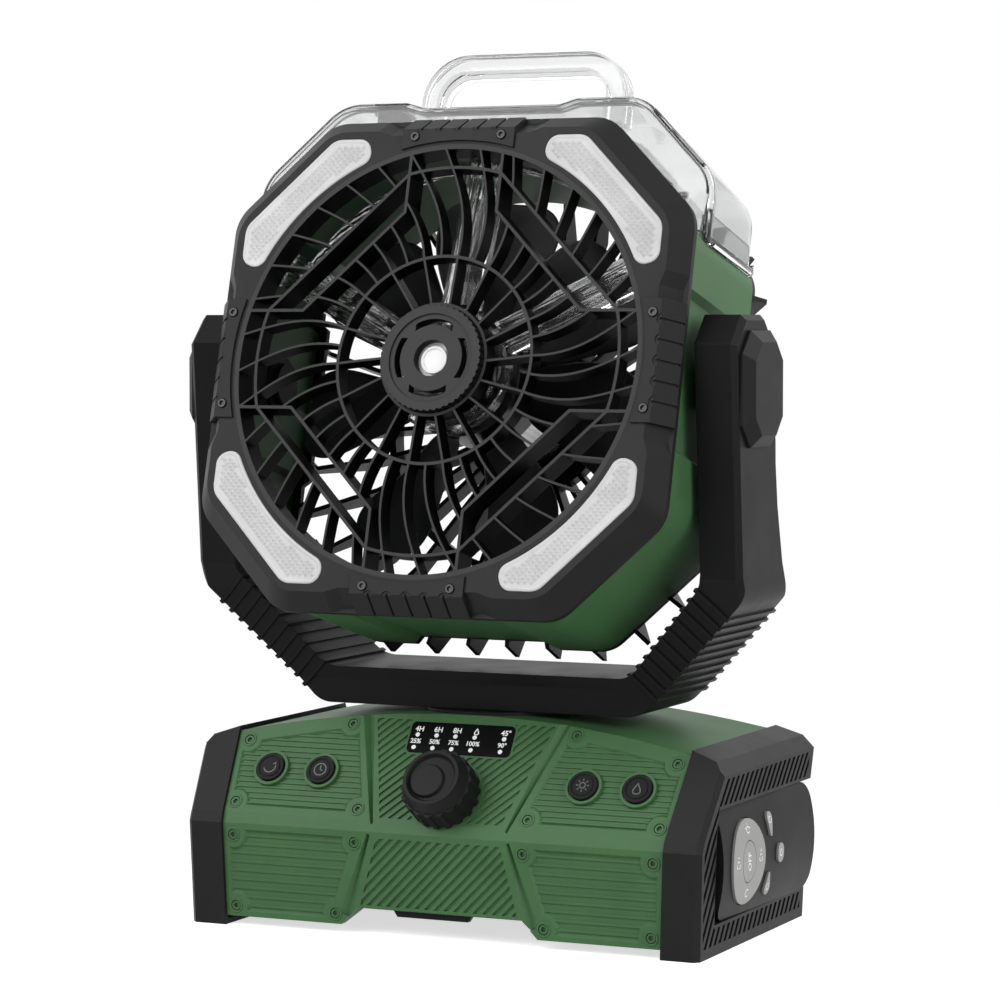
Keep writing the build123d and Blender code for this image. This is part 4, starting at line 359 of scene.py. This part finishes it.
SLOT_LOOKS = {
    "green_plastic": moulded("GreenPlastic", (0.048, 0.122, 0.047), 0.46, bump=0.10, wear=0.35,
                             specular=0.2),
    "green_screws": moulded("GreenScrews", (0.046, 0.115, 0.045), 0.40, bump=0.05, wear=0.5, specular=0.25),
    "black_plastic": moulded("BlackPlastic", (0.0085, 0.0085, 0.0088), 0.40, bump=0.08, wear=0.6,
                             specular=0.1),
    "dark_plastic": moulded("DarkPlastic", (0.0095, 0.0095, 0.0097), 0.44, bump=0.10, wear=0.5,
                            specular=0.1),
    "gloss_black": moulded("GlossBlack", (0.004, 0.004, 0.0042), 0.25, bump=0.02, wear=0.3, specular=0.05),
    "rubber": moulded("Rubber", (0.011, 0.011, 0.0115), 0.60, grain=0.0005, bump=0.2, wear=0.3,
                      specular=0.12),
    "white_plastic": moulded("WhitePlastic", (0.78, 0.78, 0.78), 0.34, bump=0.05, wear=0.0),
    "grey_keys": moulded("GreyKeys", (0.27, 0.27, 0.262), 0.38, bump=0.06, wear=0.2),
    # tank: the second tint is painted shade along its edges
    "clear_plastic": clear("ClearPlastic", (0.72, 0.725, 0.725), (0.70, 0.705, 0.705)),
    "smoked_plastic": moulded("BladePlastic", (0.010, 0.010, 0.011), 0.30, bump=0.05, wear=0.4),
    "frosted_lens": moulded("LensPlastic", (0.53, 0.53, 0.53), 0.30, bump=0.05, wear=0.0, specular=0.3),
    "circuit_board": moulded("BoardGreen", (0.02, 0.12, 0.05), 0.35, bump=0.05, wear=0.0),
    "lamp_board": moulded("BoardWhite", (0.8, 0.8, 0.78), 0.4, bump=0.05, wear=0.0),
    "cell_sleeve": moulded("CellSleeve", (0.05, 0.2, 0.4), 0.3, bump=0.03, wear=0.0),
    "bright_metal": drawn_metal("BrightMetal", (0.62, 0.62, 0.62)),
    "dark_screws": moulded("DarkScrews", (0.03, 0.03, 0.03), 0.3, bump=0.04, wear=0.6, metallic=0.6),
}

# the second tint of each clear look below is painted shade along its edges
CLEAR_HANDLE = clear("ClearHandle", (0.72, 0.725, 0.725), (0.56, 0.565, 0.565), edge_width=0.0009)
CLEAR_ARMS = clear("ClearArms", (0.80, 0.805, 0.805), (0.62, 0.625, 0.625), rough=0.10)
CLEAR_SILL = clear("ClearSill", (0.66, 0.665, 0.665), (0.5, 0.505, 0.505))
STREAKED = drawn_metal("StreakedClear", (0.75, 0.75, 0.75), 0.22, scale=(1, 1, 1))
# bezel: its front face is drawn lighter than its walls, as painted light from the lamps in front
BEZEL_BLACK_FRONT_LIT = moulded("BezelBlackFrontLit", (0.013, 0.013, 0.0132), 0.42, bump=0.08, wear=0.5, specular=0.1,
                      lit_front_colour=(0.019, 0.019, 0.0192))
# grille: a near-black body paints the shade on the ribs' deep sides, and a much lighter front colour paints
# the light on their thin fronts
GRILLE_BLACK_SHADED_LIT = moulded("GrilleBlackShadedLit", (0.0022, 0.0022, 0.0023), 0.40, bump=0.05, wear=0.0, specular=0.06,
                       lit_front_colour=(0.045, 0.045, 0.0455))
# yoke: a darker copy of the caps' black, painting the shadow that the head casts on the yoke
YOKE_BLACK_SHADOWED = moulded("YokeBlackShadowed", (0.0065, 0.0065, 0.0067), 0.42, bump=0.08, wear=0.6, specular=0.09)
CAP_BLACK = moulded("CapBlack", (0.0125, 0.0125, 0.0127), 0.42, bump=0.08, wear=0.6, specular=0.1)
# hub: its front faces are drawn lighter, as painted light from the lamps in front
HUB_BLACK_FRONT_LIT = moulded("HubBlackFrontLit", (0.007, 0.007, 0.0072), 0.42, bump=0.05, wear=0.5, specular=0.1,
                    lit_front_colour=(0.036, 0.036, 0.0365))
INK = moulded("WhiteInk", (0.86, 0.86, 0.86), 0.5, bump=0.02, vary=0.03, wear=0.0, bevel=0.00005)
# signs in the buttons' own black, drawn lighter grey to paint the highlights along their moulded lines
ICON_SHEEN = moulded("IconSheenGrey", (0.055, 0.055, 0.056), 0.42, bump=0.05, vary=0.05, wear=0.0, bevel=0.00005)
NODE_LOOKS = {
    "bezel": BEZEL_BLACK_FRONT_LIT, "front_grille": GRILLE_BLACK_SHADED_LIT, "grille_hub": HUB_BLACK_FRONT_LIT, "yoke_frame": YOKE_BLACK_SHADOWED,
    "end_cap_left": CAP_BLACK, "end_cap_right": CAP_BLACK, "edge_clips": BEZEL_BLACK_FRONT_LIT,
}


def dress_nodes():
    """Gives each CAD node its own look, or its material slot's."""
    slots = {part["node"]: part["material_slot"] for part in frame["record"]["subparts"]}
    for name, obj in nodes.items():
        obj.data.materials.clear()
        obj.data.materials.append(NODE_LOOKS.get(name) or SLOT_LOOKS[slots[name]])
        for polygon in obj.data.polygons:
            polygon.material_index = 0


# ------------------------------------------------------------------ building pieces
SHARP_ANGLE = radians(32)


def make_piece(name, verts, faces, body, slot, place, smooth=True, material=None):
    """Mesh piece from points in millimetres, set in place, riding on a body."""
    scale = Matrix.Scale(MM, 4)
    mesh = bpy.data.meshes.new(name)
    mesh.from_pydata([scale @ (place @ Vector(v)) for v in verts], [], faces)
    bm = bmesh.new()
    bm.from_mesh(mesh)
    bmesh.ops.remove_doubles(bm, verts=bm.verts, dist=1e-7)
    bmesh.ops.recalc_face_normals(bm, faces=bm.faces)
    bm.to_mesh(mesh)
    bm.free()
    mesh.validate()
    obj = bpy.data.objects.new(name, mesh)
    scene.collection.objects.link(obj)
    mesh.materials.append(material or SLOT_LOOKS[slot])
    if smooth:
        mesh.shade_smooth()
        mesh.set_sharp_from_angle(angle=SHARP_ANGLE)
    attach(obj, body)
    return obj


def rounded(points, radii, steps=6):
    """Closed outline with its corners turned into arcs."""
    outline = []
    count = len(points)
    for i, (corner, radius) in enumerate(zip(points, radii)):
        p = Vector(corner)
        a = (Vector(points[i - 1]) - p).normalized()
        b = (Vector(points[(i + 1) % count]) - p).normalized()
        if radius <= 0:
            outline.append(p)
            continue
        half = a.angle(b) / 2
        reach = radius / tan(half)
        centre = p + (a + b).normalized() * (radius / sin(half))
        start, end = p + a * reach - centre, p + b * reach - centre
        turn = start.angle_signed(end)
        for k in range(steps + 1):
            t = -turn * k / steps
            x = start.x * cos(t) - start.y * sin(t)
            y = start.x * sin(t) + start.y * cos(t)
            outline.append(centre + Vector((x, y)))
    return outline


def inset_outline(points, by):
    """Moves each side of a closed, counter-clockwise outline inwards."""
    result = []
    count = len(points)
    for i in range(count):
        p0, p1, p2 = (Vector(points[(i + k) % count]) for k in (-1, 0, 1))
        d1, d2 = (p1 - p0).normalized(), (p2 - p1).normalized()
        n1, n2 = Vector((-d1.y, d1.x)), Vector((-d2.y, d2.x))
        mid = (n1 + n2).normalized()
        result.append(p1 + mid * (by / max(0.2, mid.dot(n1))))
    return result


def skin(faces, a, b):
    """Joins two closed rings of point numbers with four-sided faces."""
    for k in range(len(a)):
        faces.append((a[k - 1], a[k], b[k], b[k - 1]))


def inside(point, outline):
    """Whether a point lies in a closed outline."""
    x, y = point
    hit = False
    for i in range(len(outline)):
        (x1, y1), (x2, y2) = outline[i], outline[i - 1]
        if (y1 > y) != (y2 > y) and x < (x2 - x1) * (y - y1) / (y2 - y1) + x1:
            hit = not hit
    return hit


# ------------------------------------------------------------------ lamp lenses
def lens_outline():
    """Upper right lamp lens, counter-clockwise, seen from the front."""
    half, total, bore = 91.2, 146.22, 90.3
    start, inner_x = 40.0, 37.0
    end_r, side_r = 5.3, 8.0
    end_reach, steps = 5.4, 24
    cut = total - half
    inner_z = sqrt(bore ** 2 - inner_x ** 2)
    a0, a1 = atan2(inner_z, inner_x), atan2(inner_x, inner_z)
    corner_turn = end_reach / bore
    arc = []
    for k in range(steps + 1):
        a = a0 - corner_turn + (a1 - a0 + 2 * corner_turn) * k / steps
        arc.append((bore * cos(a), bore * sin(a)))
    corners = [(inner_z, inner_x), (half, start), (half, cut),
               (cut, half), (start, half), (inner_x, inner_z)]
    radii = [end_r, end_r, side_r, side_r, end_r, end_r]
    return rounded(corners + arc, radii + [0] * len(arc))


def lamp_lenses():
    """Frosted lenses: a rounded rim round a field of small pyramids."""
    rim, foot, high, pitch, fill = 1.75, -0.2, 0.62, 1.9, 0.98
    middle, field_from, field_to, rows = 66, 36, 93, 60
    slant = 0.7071
    rings = [(0.0, 2.2), (0.0, 0.1), (0.12, -0.16), (0.42, -0.36), (0.8, -0.4), (1.5, -0.4), (rim, -0.22)]
    outline = lens_outline()
    field = inset_outline(outline, rim + 0.5 * pitch)
    verts, faces = [], []

    def put(x, y, z):
        verts.append(turn @ Vector((x, y, z)))
        return len(verts) - 1

    for quarter in range(4):
        turn = Matrix.Rotation(-pi / 2 * quarter, 4, "Y")
        loops = []
        for inset, depth in rings:
            loops.append([put(p[0], depth, p[1]) for p in inset_outline(outline, inset)])
        faces.append(tuple(loops[0]))
        for a, b in zip(loops, loops[1:]):
            skin(faces, a, b)
        faces.append(tuple(reversed(loops[-1])))
        for i in range(-rows, rows + 1):
            for j in range(-rows, rows + 1):
                x = middle + (i + j) * pitch * slant
                z = middle + (i - j) * pitch * slant
                near = field_from < x < field_to and field_from < z < field_to
                if not near or not inside((x, z), field):
                    continue
                r = pitch * slant * fill
                base = [put(x + r, foot, z), put(x, foot, z + r), put(x - r, foot, z), put(x, foot, z - r)]
                tip = put(x, foot - high, z)
                for k in range(4):
                    faces.append((base[k], base[(k + 1) % 4], tip))
    obj = make_piece("lamp_lens_field", verts, faces, "head", "frosted_lens", HEAD, smooth=False)
    for polygon in obj.data.polygons:
        polygon.use_smooth = len(polygon.vertices) == 4
    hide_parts("lamp_lenses")


# ------------------------------------------------------------------ handle and tank
def sweep(path, profile):
    """Closed skin between copies of a profile set along a path of matrices."""
    verts, faces, rings = [], [], []
    for m in path:
        rings.append(range(len(verts), len(verts) + len(profile)))
        verts.extend(m @ Vector(p) for p in profile)
    for a, b in zip(rings, rings[1:]):
        skin(faces, a, b)
    faces.append(tuple(rings[0]))
    faces.append(tuple(reversed(rings[-1])))
    return verts, faces


def carry_handle():
    """Arched clear handle with three long ridges outside."""
    half, foot, top, bend = 41.6, 115.0, 140.5, 15.5
    depth, half_wide, ridge_spread = 59.5, 6.0, 1.19
    line = rounded([(half, foot), (half, top), (-half, top), (-half, foot)], [0, bend, bend, 0], steps=14)
    ridges = [(-5.0, 3.4), (-4.5, 4.2), (-3.6, 4.5), (-2.7, 4.2), (-2.1, 3.5), (-1.5, 4.2), (-0.8, 4.5),
              (0.8, 4.5), (1.5, 4.2), (2.1, 3.5), (2.7, 4.2), (3.6, 4.5), (4.5, 4.2), (5.0, 3.4)]
    under = [(half_wide, 1.8), (half_wide, -3.0), (5.3, -4.1), (4.0, -4.5),
             (-4.0, -4.5), (-5.3, -4.1), (-half_wide, -3.0), (-half_wide, 1.8)]
    profile = [(v * ridge_spread, n, 0) for v, n in ridges] + [(v, n, 0) for v, n in under]
    path = []
    last = len(line) - 1
    for i, p in enumerate(line):
        before, after = line[max(i - 1, 0)], line[min(i + 1, last)]
        along = (after - before).normalized()
        out = (along.y, 0, -along.x)
        path.append(axes_matrix((0, 1, 0), out, (along.x, 0, along.y), (p.x, depth, p.y)))
    verts, faces = sweep(path, profile)
    obj = make_piece("handle_arch", verts, faces, "tank", "clear_plastic", HEAD, material=CLEAR_HANDLE)
    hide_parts("carry_handle")


def tank_outline(foot):
    """Tank seen from the front, and how many of its points lie on the saddle."""
    half, total, top = 100.4, 182.0, 115.0
    dip_from, dip_to, dip = 38.0, 30.0, 2.4
    saddle_r, saddle_steps = 90.5, 40
    radii = [0.8, 20.0, 20.0, 6.0, 6.0]
    right = [(half, foot), (half, total - half), (total - top, top), (dip_from, top), (dip_to, top - dip)]
    left = [(-x, z) for x, z in reversed(right)]
    foot_x = sqrt(saddle_r ** 2 - foot ** 2)
    a0, a1 = atan2(foot, -foot_x), atan2(foot, foot_x)
    saddle = []
    for k in range(saddle_steps + 1):
        a = a0 + (a1 - a0) * k / saddle_steps
        saddle.append((saddle_r * cos(a), saddle_r * sin(a)))
    outline = rounded(right + left + saddle, radii + radii[::-1] + [0] * len(saddle), steps=8)
    return outline, len(saddle)


def water_tank():
    """Clear saddle tank: thin walls, a rounded front rim and a slightly narrower back."""
    foot, foot_band, wall = 54.8, 0.3, 2.0
    stations = [(24.4, 3.2), (24.4, 1.6), (24.8, 0.8), (25.6, 0.2), (26.6, 0.0), (28.6, 0.0), (29.6, 0.2),
                (30.3, 0.8), (30.6, 1.1), (52.0, 1.6), (74.0, 2.1), (76.6, 2.3), (78.0, 2.9), (78.6, 4.0)]
    outline, saddle_count = tank_outline(foot)
    saddle_from = len(outline) - saddle_count

    def ring_at(inset):
        """The outline moved in, but not along the saddle, and not upwards at the foot."""
        result = []
        for i, (kept, moved) in enumerate(zip(outline, inset_outline(outline, inset))):
            if i >= saddle_from:
                moved = kept
            elif moved.y < foot + foot_band:
                moved = Vector((moved.x, kept.y))
            result.append(moved)
        return result

    verts, faces, loops = [], [], []
    for depth, inset in stations:
        ring = ring_at(inset)
        loops.append(range(len(verts), len(verts) + len(ring)))
        verts.extend((p.x, depth, p.y) for p in ring)
    for a, b in zip(loops, loops[1:]):
        skin(faces, a, b)
    faces.append(tuple(reversed(loops[0])))
    faces.append(tuple(loops[-1]))
    obj = make_piece("tank_body", verts, faces, "tank", "clear_plastic", HEAD)
    bm = bmesh.new()
    bm.from_mesh(obj.data)
    bmesh.ops.triangulate(bm, faces=[f for f in bm.faces if len(f.verts) > 4])
    bm.to_mesh(obj.data)
    bm.free()
    walls = obj.modifiers.new("Walls", "SOLIDIFY")
    walls.thickness = wall * MM
    walls.offset = -1
    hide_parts("water_tank")


def plate(verts, faces, outline, low, high):
    """Adds a flat plate with chamfered rims; outline in (y, z), thickness along x."""
    base = len(verts)
    rim = 0.35
    small = inset_outline(outline, rim)
    sign = 1 if high > low else -1
    for loop, x in ((small, low), (outline, low + sign * rim), (outline, high - sign * rim), (small, high)):
        verts.extend((x, p[0], p[1]) for p in loop)
    count = len(outline)
    faces.append(tuple(range(base, base + count)))
    faces.append(tuple(reversed(range(base + 3 * count, base + 4 * count))))
    for row in range(3):
        for k in range(count):
            a, b = base + row * count + k, base + row * count + (k + 1) % count
            faces.append((a, b, b + count, a + count))


def tank_sills():
    """Thicker band along the foot of both side walls, inside the tank."""
    front, back, low, high = 27.0, 76.0, 56.9, 67.0
    inner_x, outer_x = 96.8, 98.2
    corners = [(front, low), (back, low), (back, high), (front, high)]
    outline = rounded(corners, [0.8, 0.8, 2.0, 2.0], steps=4)
    verts, faces = [], []
    for side in (-1, 1):
        plate(verts, faces, outline, side * inner_x, side * outer_x)
    make_piece("tank_sills", verts, faces, "tank", "clear_plastic", HEAD, material=CLEAR_SILL)


# ------------------------------------------------------------------ inside the duct
def duct_window():
    """Bright, finely streaked band round the upper part of the duct, a little behind the manifold."""
    outer, inner, near, far = 87.9, 87.1, 25.5, 33.0
    half_turn, ripple = 66, 0.18
    steps, rows = 88, 6
    verts, faces = [], []
    for i in range(steps + 1):
        a = radians(-half_turn + 2 * half_turn * i / steps)
        for j in range(rows + 1):
            r = inner + (ripple * sin(i * 5.3 + j * 2.1) if 0 < j < rows else 0.0)
            verts.append((r * sin(a), near + (far - near) * j / rows, r * cos(a)))
        for y in (far, near):
            verts.append((outer * sin(a), y, outer * cos(a)))
    row = rows + 3
    for i in range(steps):
        for k in range(row):
            a, b = i * row + k, i * row + (k + 1) % row
            faces.append((a, b, b + row, a + row))
    faces.append(tuple(range(row)))
    faces.append(tuple(reversed(range(steps * row, steps * row + row))))
    make_piece("duct_window", verts, faces, "head", "clear_plastic", HEAD, smooth=False, material=STREAKED)


def uneven(k):
    """Number from 0 to 1 that jumps about from one k to the next, the same each run."""
    return 0.5 + 0.5 * sin(k * 12.9898 + 4.1414 * sin(k * 78.233))


def ridged(verts, faces, span, lines, along, seed, front, back):
    """Adds a sheet with ridges down its front; span gives (x, z) from two shares, across and along."""
    high = 0.9
    base = len(verts)
    for i in range(lines + 1):
        for j in range(along + 1):
            x, z = span(i / lines, j / along)
            ridge = high * uneven(i + seed) * (0.75 + 0.25 * uneven(3 * j + i))
            verts.append((x, front + (0.0 if i in (0, lines) else ridge), z))
    for i in range(lines + 1):
        for j in range(along + 1):
            x, z = span(i / lines, j / along)
            verts.append((x, back, z))
    row = along + 1
    size = (lines + 1) * row

    def wall(a, step, edge_first):
        """Face between the front's and the back's edge, from point a to the one a step on."""
        if edge_first:
            faces.append((a, a + step, a + size + step, a + size))
        else:
            faces.append((a, a + size, a + size + step, a + step))

    for i in range(lines):
        for j in range(along):
            a = base + i * row + j
            faces.append((a, a + row, a + row + 1, a + 1))
            faces.append((a + size, a + size + 1, a + size + row + 1, a + size + row))
    for j in range(along):
        for i in (0, lines):
            wall(base + i * row + j, 1, i == 0)
    for i in range(lines):
        for j in (0, along):
            wall(base + i * row + j, row, j > 0)


def mist_manifold():
    """Clear ring with three flat arms, drawn lengthways into fine uneven ridges."""
    front, back, hole_r, ring_r, arm_half, reach = 12.3, 18.8, 9.0, 26.0, 7.5, 87.9
    arm_gap = 0.02
    verts, faces = [], []
    for n, angle in enumerate((5.0, 63.0, -62.0)):
        turn = radians(angle)

        def arm(u, v):
            side = (2 * u - 1) * arm_half
            start, end = sqrt(ring_r ** 2 - side ** 2) + arm_gap, sqrt(reach ** 2 - side ** 2)
            out = start + (end - start) * v
            return side * cos(turn) + out * sin(turn), out * cos(turn) - side * sin(turn)

        ridged(verts, faces, arm, 26, 12, 17 * n, front, back)

    def disc(u, v):
        radius = hole_r + (ring_r - hole_r) * u
        a = 2 * pi * v
        return radius * sin(a), radius * cos(a)

    ridged(verts, faces, disc, 10, 64, 91, front, back)
    obj = make_piece("manifold_arms", verts, faces, "head", "clear_plastic", HEAD, smooth=False,
                     material=CLEAR_ARMS)
    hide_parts("mist_manifold")


# ------------------------------------------------------------------ printed and moulded marks
CAPITAL_SHARE = 0.7         # a capital's height, as a share of the font's size


def words(name, text, size, place, body, thick=0.06, bold=0.07):
    """Flat printed lettering as a thin mesh; size is the height of a capital."""
    curve = bpy.data.curves.new(name, "FONT")
    curve.body = text
    curve.align_x = "CENTER"
    curve.align_y = "CENTER"
    curve.size = size / CAPITAL_SHARE * MM
    curve.extrude = thick * MM / 2
    curve.offset = bold * MM
    curve.resolution_u = 4
    holder = bpy.data.objects.new(name + "_curve", curve)
    scene.collection.objects.link(holder)
    bpy.context.view_layer.update()
    mesh = bpy.data.meshes.new_from_object(holder)
    bpy.data.objects.remove(holder)
    scaled = place.copy()
    scaled.translation = scaled.translation * MM
    mesh.transform(scaled)
    mesh.name = name
    mesh.materials.clear()
    mesh.materials.append(INK)
    obj = bpy.data.objects.new(name, mesh)
    scene.collection.objects.link(obj)
    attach(obj, body)


def flat_disc(verts, faces, cx, cy, radius, low, high):
    """Adds a short round pillar to the lists."""
    steps = 24
    base = len(verts)
    for z in (low, high):
        for k in range(steps):
            a = 2 * pi * k / steps
            verts.append((cx + radius * cos(a), cy + radius * sin(a), z))
    faces.append(tuple(reversed(range(base, base + steps))))
    faces.append(tuple(range(base + steps, base + 2 * steps)))
    for k in range(steps):
        a, b = base + k, base + (k + 1) % steps
        faces.append((a, b, b + steps, a + steps))


def strip(verts, faces, points, width, low, high, closed=False):
    """Adds a thin raised line through points."""
    pts = [Vector(p) for p in points]
    count = len(pts)
    base = len(verts)
    for i, p in enumerate(pts):
        if closed:
            before, after = pts[i - 1], pts[(i + 1) % count]
        else:
            before, after = pts[max(i - 1, 0)], pts[min(i + 1, count - 1)]
        d = (after - before).normalized()
        n = Vector((-d.y, d.x)) * width / 2
        for s, z in ((1, low), (-1, low), (-1, high), (1, high)):
            verts.append((p.x + n.x * s, p.y + n.y * s, z))
    last = count if closed else count - 1
    for i in range(last):
        a, b = base + 4 * i, base + 4 * ((i + 1) % count)
        for k in range(4):
            faces.append((a + k, a + (k + 1) % 4, b + (k + 1) % 4, b + k))
    if not closed:
        faces.append(tuple(base + k for k in range(4)))
        faces.append(tuple(base + 4 * (count - 1) + k for k in (3, 2, 1, 0)))


def arc_points(cx, cy, radius, start, end, steps=14):
    """Points on an arc, from its start to its end in degrees."""
    points = []
    for k in range(steps + 1):
        a = radians(start + (end - start) * k / steps)
        points.append((cx + radius * cos(a), cy + radius * sin(a)))
    return points


def drop_points(cx, cy, high):
    """Outline of a water drop, its tip up."""
    steps = 20
    points = []
    for k in range(steps):
        t = 2 * pi * k / steps
        points.append((cx + high * 0.33 * sin(t) * (1 - cos(t)) / 1.3, cy + high * 0.5 * cos(t)))
    return points


def label_marks():
    """Timer, mist, charge and swing marks, with a lamp dot under each."""
    columns = (-19.3, -10.9, -2.5, 6.0, 19.0)
    upper = ("4H", "6H", "8H", "", "45°")
    lower = ("25%", "50%", "75%", "100%", "90°")
    upper_y, upper_dot_y, lower_y, lower_dot_y = 3.5, 0.95, -1.95, -4.75
    upper_size, lower_size, dot_r, dot_high = 2.2, 1.95, 0.95, 0.12
    word_lift, drop_high = 0.03, 0.06
    place = slope_matrix(0, LABEL_Z)
    for i, x in enumerate(columns):
        top = place @ Matrix.Translation((x + 0.3, upper_y, LABEL_TOP + word_lift))
        low = place @ Matrix.Translation((x - 0.2, lower_y, LABEL_TOP + word_lift))
        if upper[i]:
            words(f"label_upper_{i}", upper[i], upper_size, top, "base")
        words(f"label_lower_{i}", lower[i], lower_size, low, "base")
    verts, faces = [], []
    for x in columns:
        flat_disc(verts, faces, x, upper_dot_y, dot_r, LABEL_TOP, LABEL_TOP + dot_high)
        flat_disc(verts, faces, x - 0.4, lower_dot_y, dot_r, LABEL_TOP, LABEL_TOP + dot_high)
    drop = drop_points(6.3, 3.6, 2.7)
    strip(verts, faces, drop, 0.45, LABEL_TOP, LABEL_TOP + drop_high, closed=True)
    make_piece("label_dots", verts, faces, "base", "gloss_black", place, smooth=False, material=INK)


def button_marks():
    """A small moulded sign on each button, lighter than the button as a painted highlight: lines as (points,
    closed).
    """
    line_wide, line_high = 0.5, 0.14
    swing = [(arc_points(0, 0, 2.6, 200, 400), False), ([(1.2, 1.1), (2.3, 1.9), (2.6, 0.4)], False)]
    clock = [(arc_points(0, 0, 2.6, 0, 360, 22), True), ([(0, 1.7), (0, 0), (1.2, -0.5)], False)]
    sun = [(arc_points(0, 0, 1.2, 0, 360, 16), True)]
    for k in range(8):
        a = pi / 4 * k
        sun.append(([(1.9 * cos(a), 1.9 * sin(a)), (2.8 * cos(a), 2.8 * sin(a))], False))
    drop = [(drop_points(0, 0, 4.8), True)]
    signs = {
        "button_swing": (-81.0, swing), "button_timer": (-57.9, clock),
        "button_light": (57.9, sun), "button_mist": (81.0, drop),
    }
    for body, (x, lines) in signs.items():
        verts, faces = [], []
        for points, closed in lines:
            strip(verts, faces, points, line_wide, BUTTON_PROUD, BUTTON_PROUD + line_high, closed)
        place = slope_matrix(x, BUTTON_Z)
        make_piece(body + "_sign", verts, faces, body, "rubber", place, smooth=False, material=ICON_SHEEN)


def remote_surface(z, rise):
    """How far out the remote's crowned face lies at height z."""
    return REMOTE_CROWN_DEPTH + sqrt(REMOTE_CROWN_R ** 2 - z ** 2) + rise


def on_keys(name, body, lines, width=0.42):
    """Piece of open lines that lies on the remote's keys."""
    high, sunk = 0.1, 0.02
    verts, faces = [], []
    for points in lines:
        strip(verts, faces, points, width, 0, high)
    moved = [(remote_surface(v[1], KEY_RISE + v[2] - sunk), v[0], v[1]) for v in verts]
    make_piece(name, moved, faces, body, "grey_keys", REMOTE, smooth=False, material=INK)


def remote_marks():
    """Lamp, moon and two fans on the remote's ring, OFF on its centre key, an arc on each small key."""
    ring_y, ring_z = -23.9, -1.2
    sign_up, sign_out = 12.6, 11.6
    lamp_z = ring_z + sign_up
    moon_z = ring_z - sign_up
    lines = [arc_points(ring_y, lamp_z, 1.3, 0, 330, 12), arc_points(ring_y, moon_z, 1.5, 40, 320, 12)]
    for a in (0.3, 1.57, 2.8):
        inner = (ring_y + 1.9 * cos(a), lamp_z + 1.9 * sin(a))
        outer = (ring_y + 2.6 * cos(a), lamp_z + 1.9 * sin(a) * 1.35)
        lines.append([inner, outer])
    blade_r, blade_sweep = 0.8, 80
    for side in (-1, 1):
        fan_y = ring_y + side * sign_out
        for a in (90, 210, 330):
            blade_y, blade_z = fan_y + blade_r * cos(radians(a)), ring_z + blade_r * sin(radians(a))
            lines.append(arc_points(blade_y, blade_z, blade_r, a - blade_sweep, a + blade_sweep, 6))
    sign_z = ring_z + 3.0
    lines.append([(ring_y - 12.2, sign_z), (ring_y - 11.0, sign_z)])
    lines.append([(ring_y + 11.0, sign_z), (ring_y + 12.2, sign_z)])
    lines.append([(ring_y + sign_out, ring_z + 2.4), (ring_y + sign_out, ring_z + 3.6)])
    on_keys("remote_ring_signs", "ring_key", lines)
    for body, y, z in (("key_1", -0.2, 12.4), ("key_2", 9.4, -2.1), ("key_3", -1.8, -14.4)):
        on_keys(f"remote_{body}_sign", body, [arc_points(y, z, 1.3, 60, 380, 12)], 0.35)
    at = (remote_surface(ring_z, KEY_RISE) + 0.02, ring_y, ring_z)
    upright = axes_matrix((0, 0, 1), (0, -1, 0), (1, 0, 0), at)
    words("remote_off_word", "OFF", 3.0, REMOTE @ upright, "off_key", thick=0.12, bold=0.05)


dress_nodes()
lamp_lenses()
carry_handle()
water_tank()
tank_sills()
duct_window()
mist_manifold()
label_marks()
button_marks()
remote_marks()


# ------------------------------------------------------------------ box corners, and the end
def corners(box):
    return [[float(v) for v in corner] for corner in box]


bpy.context.view_layer.update()
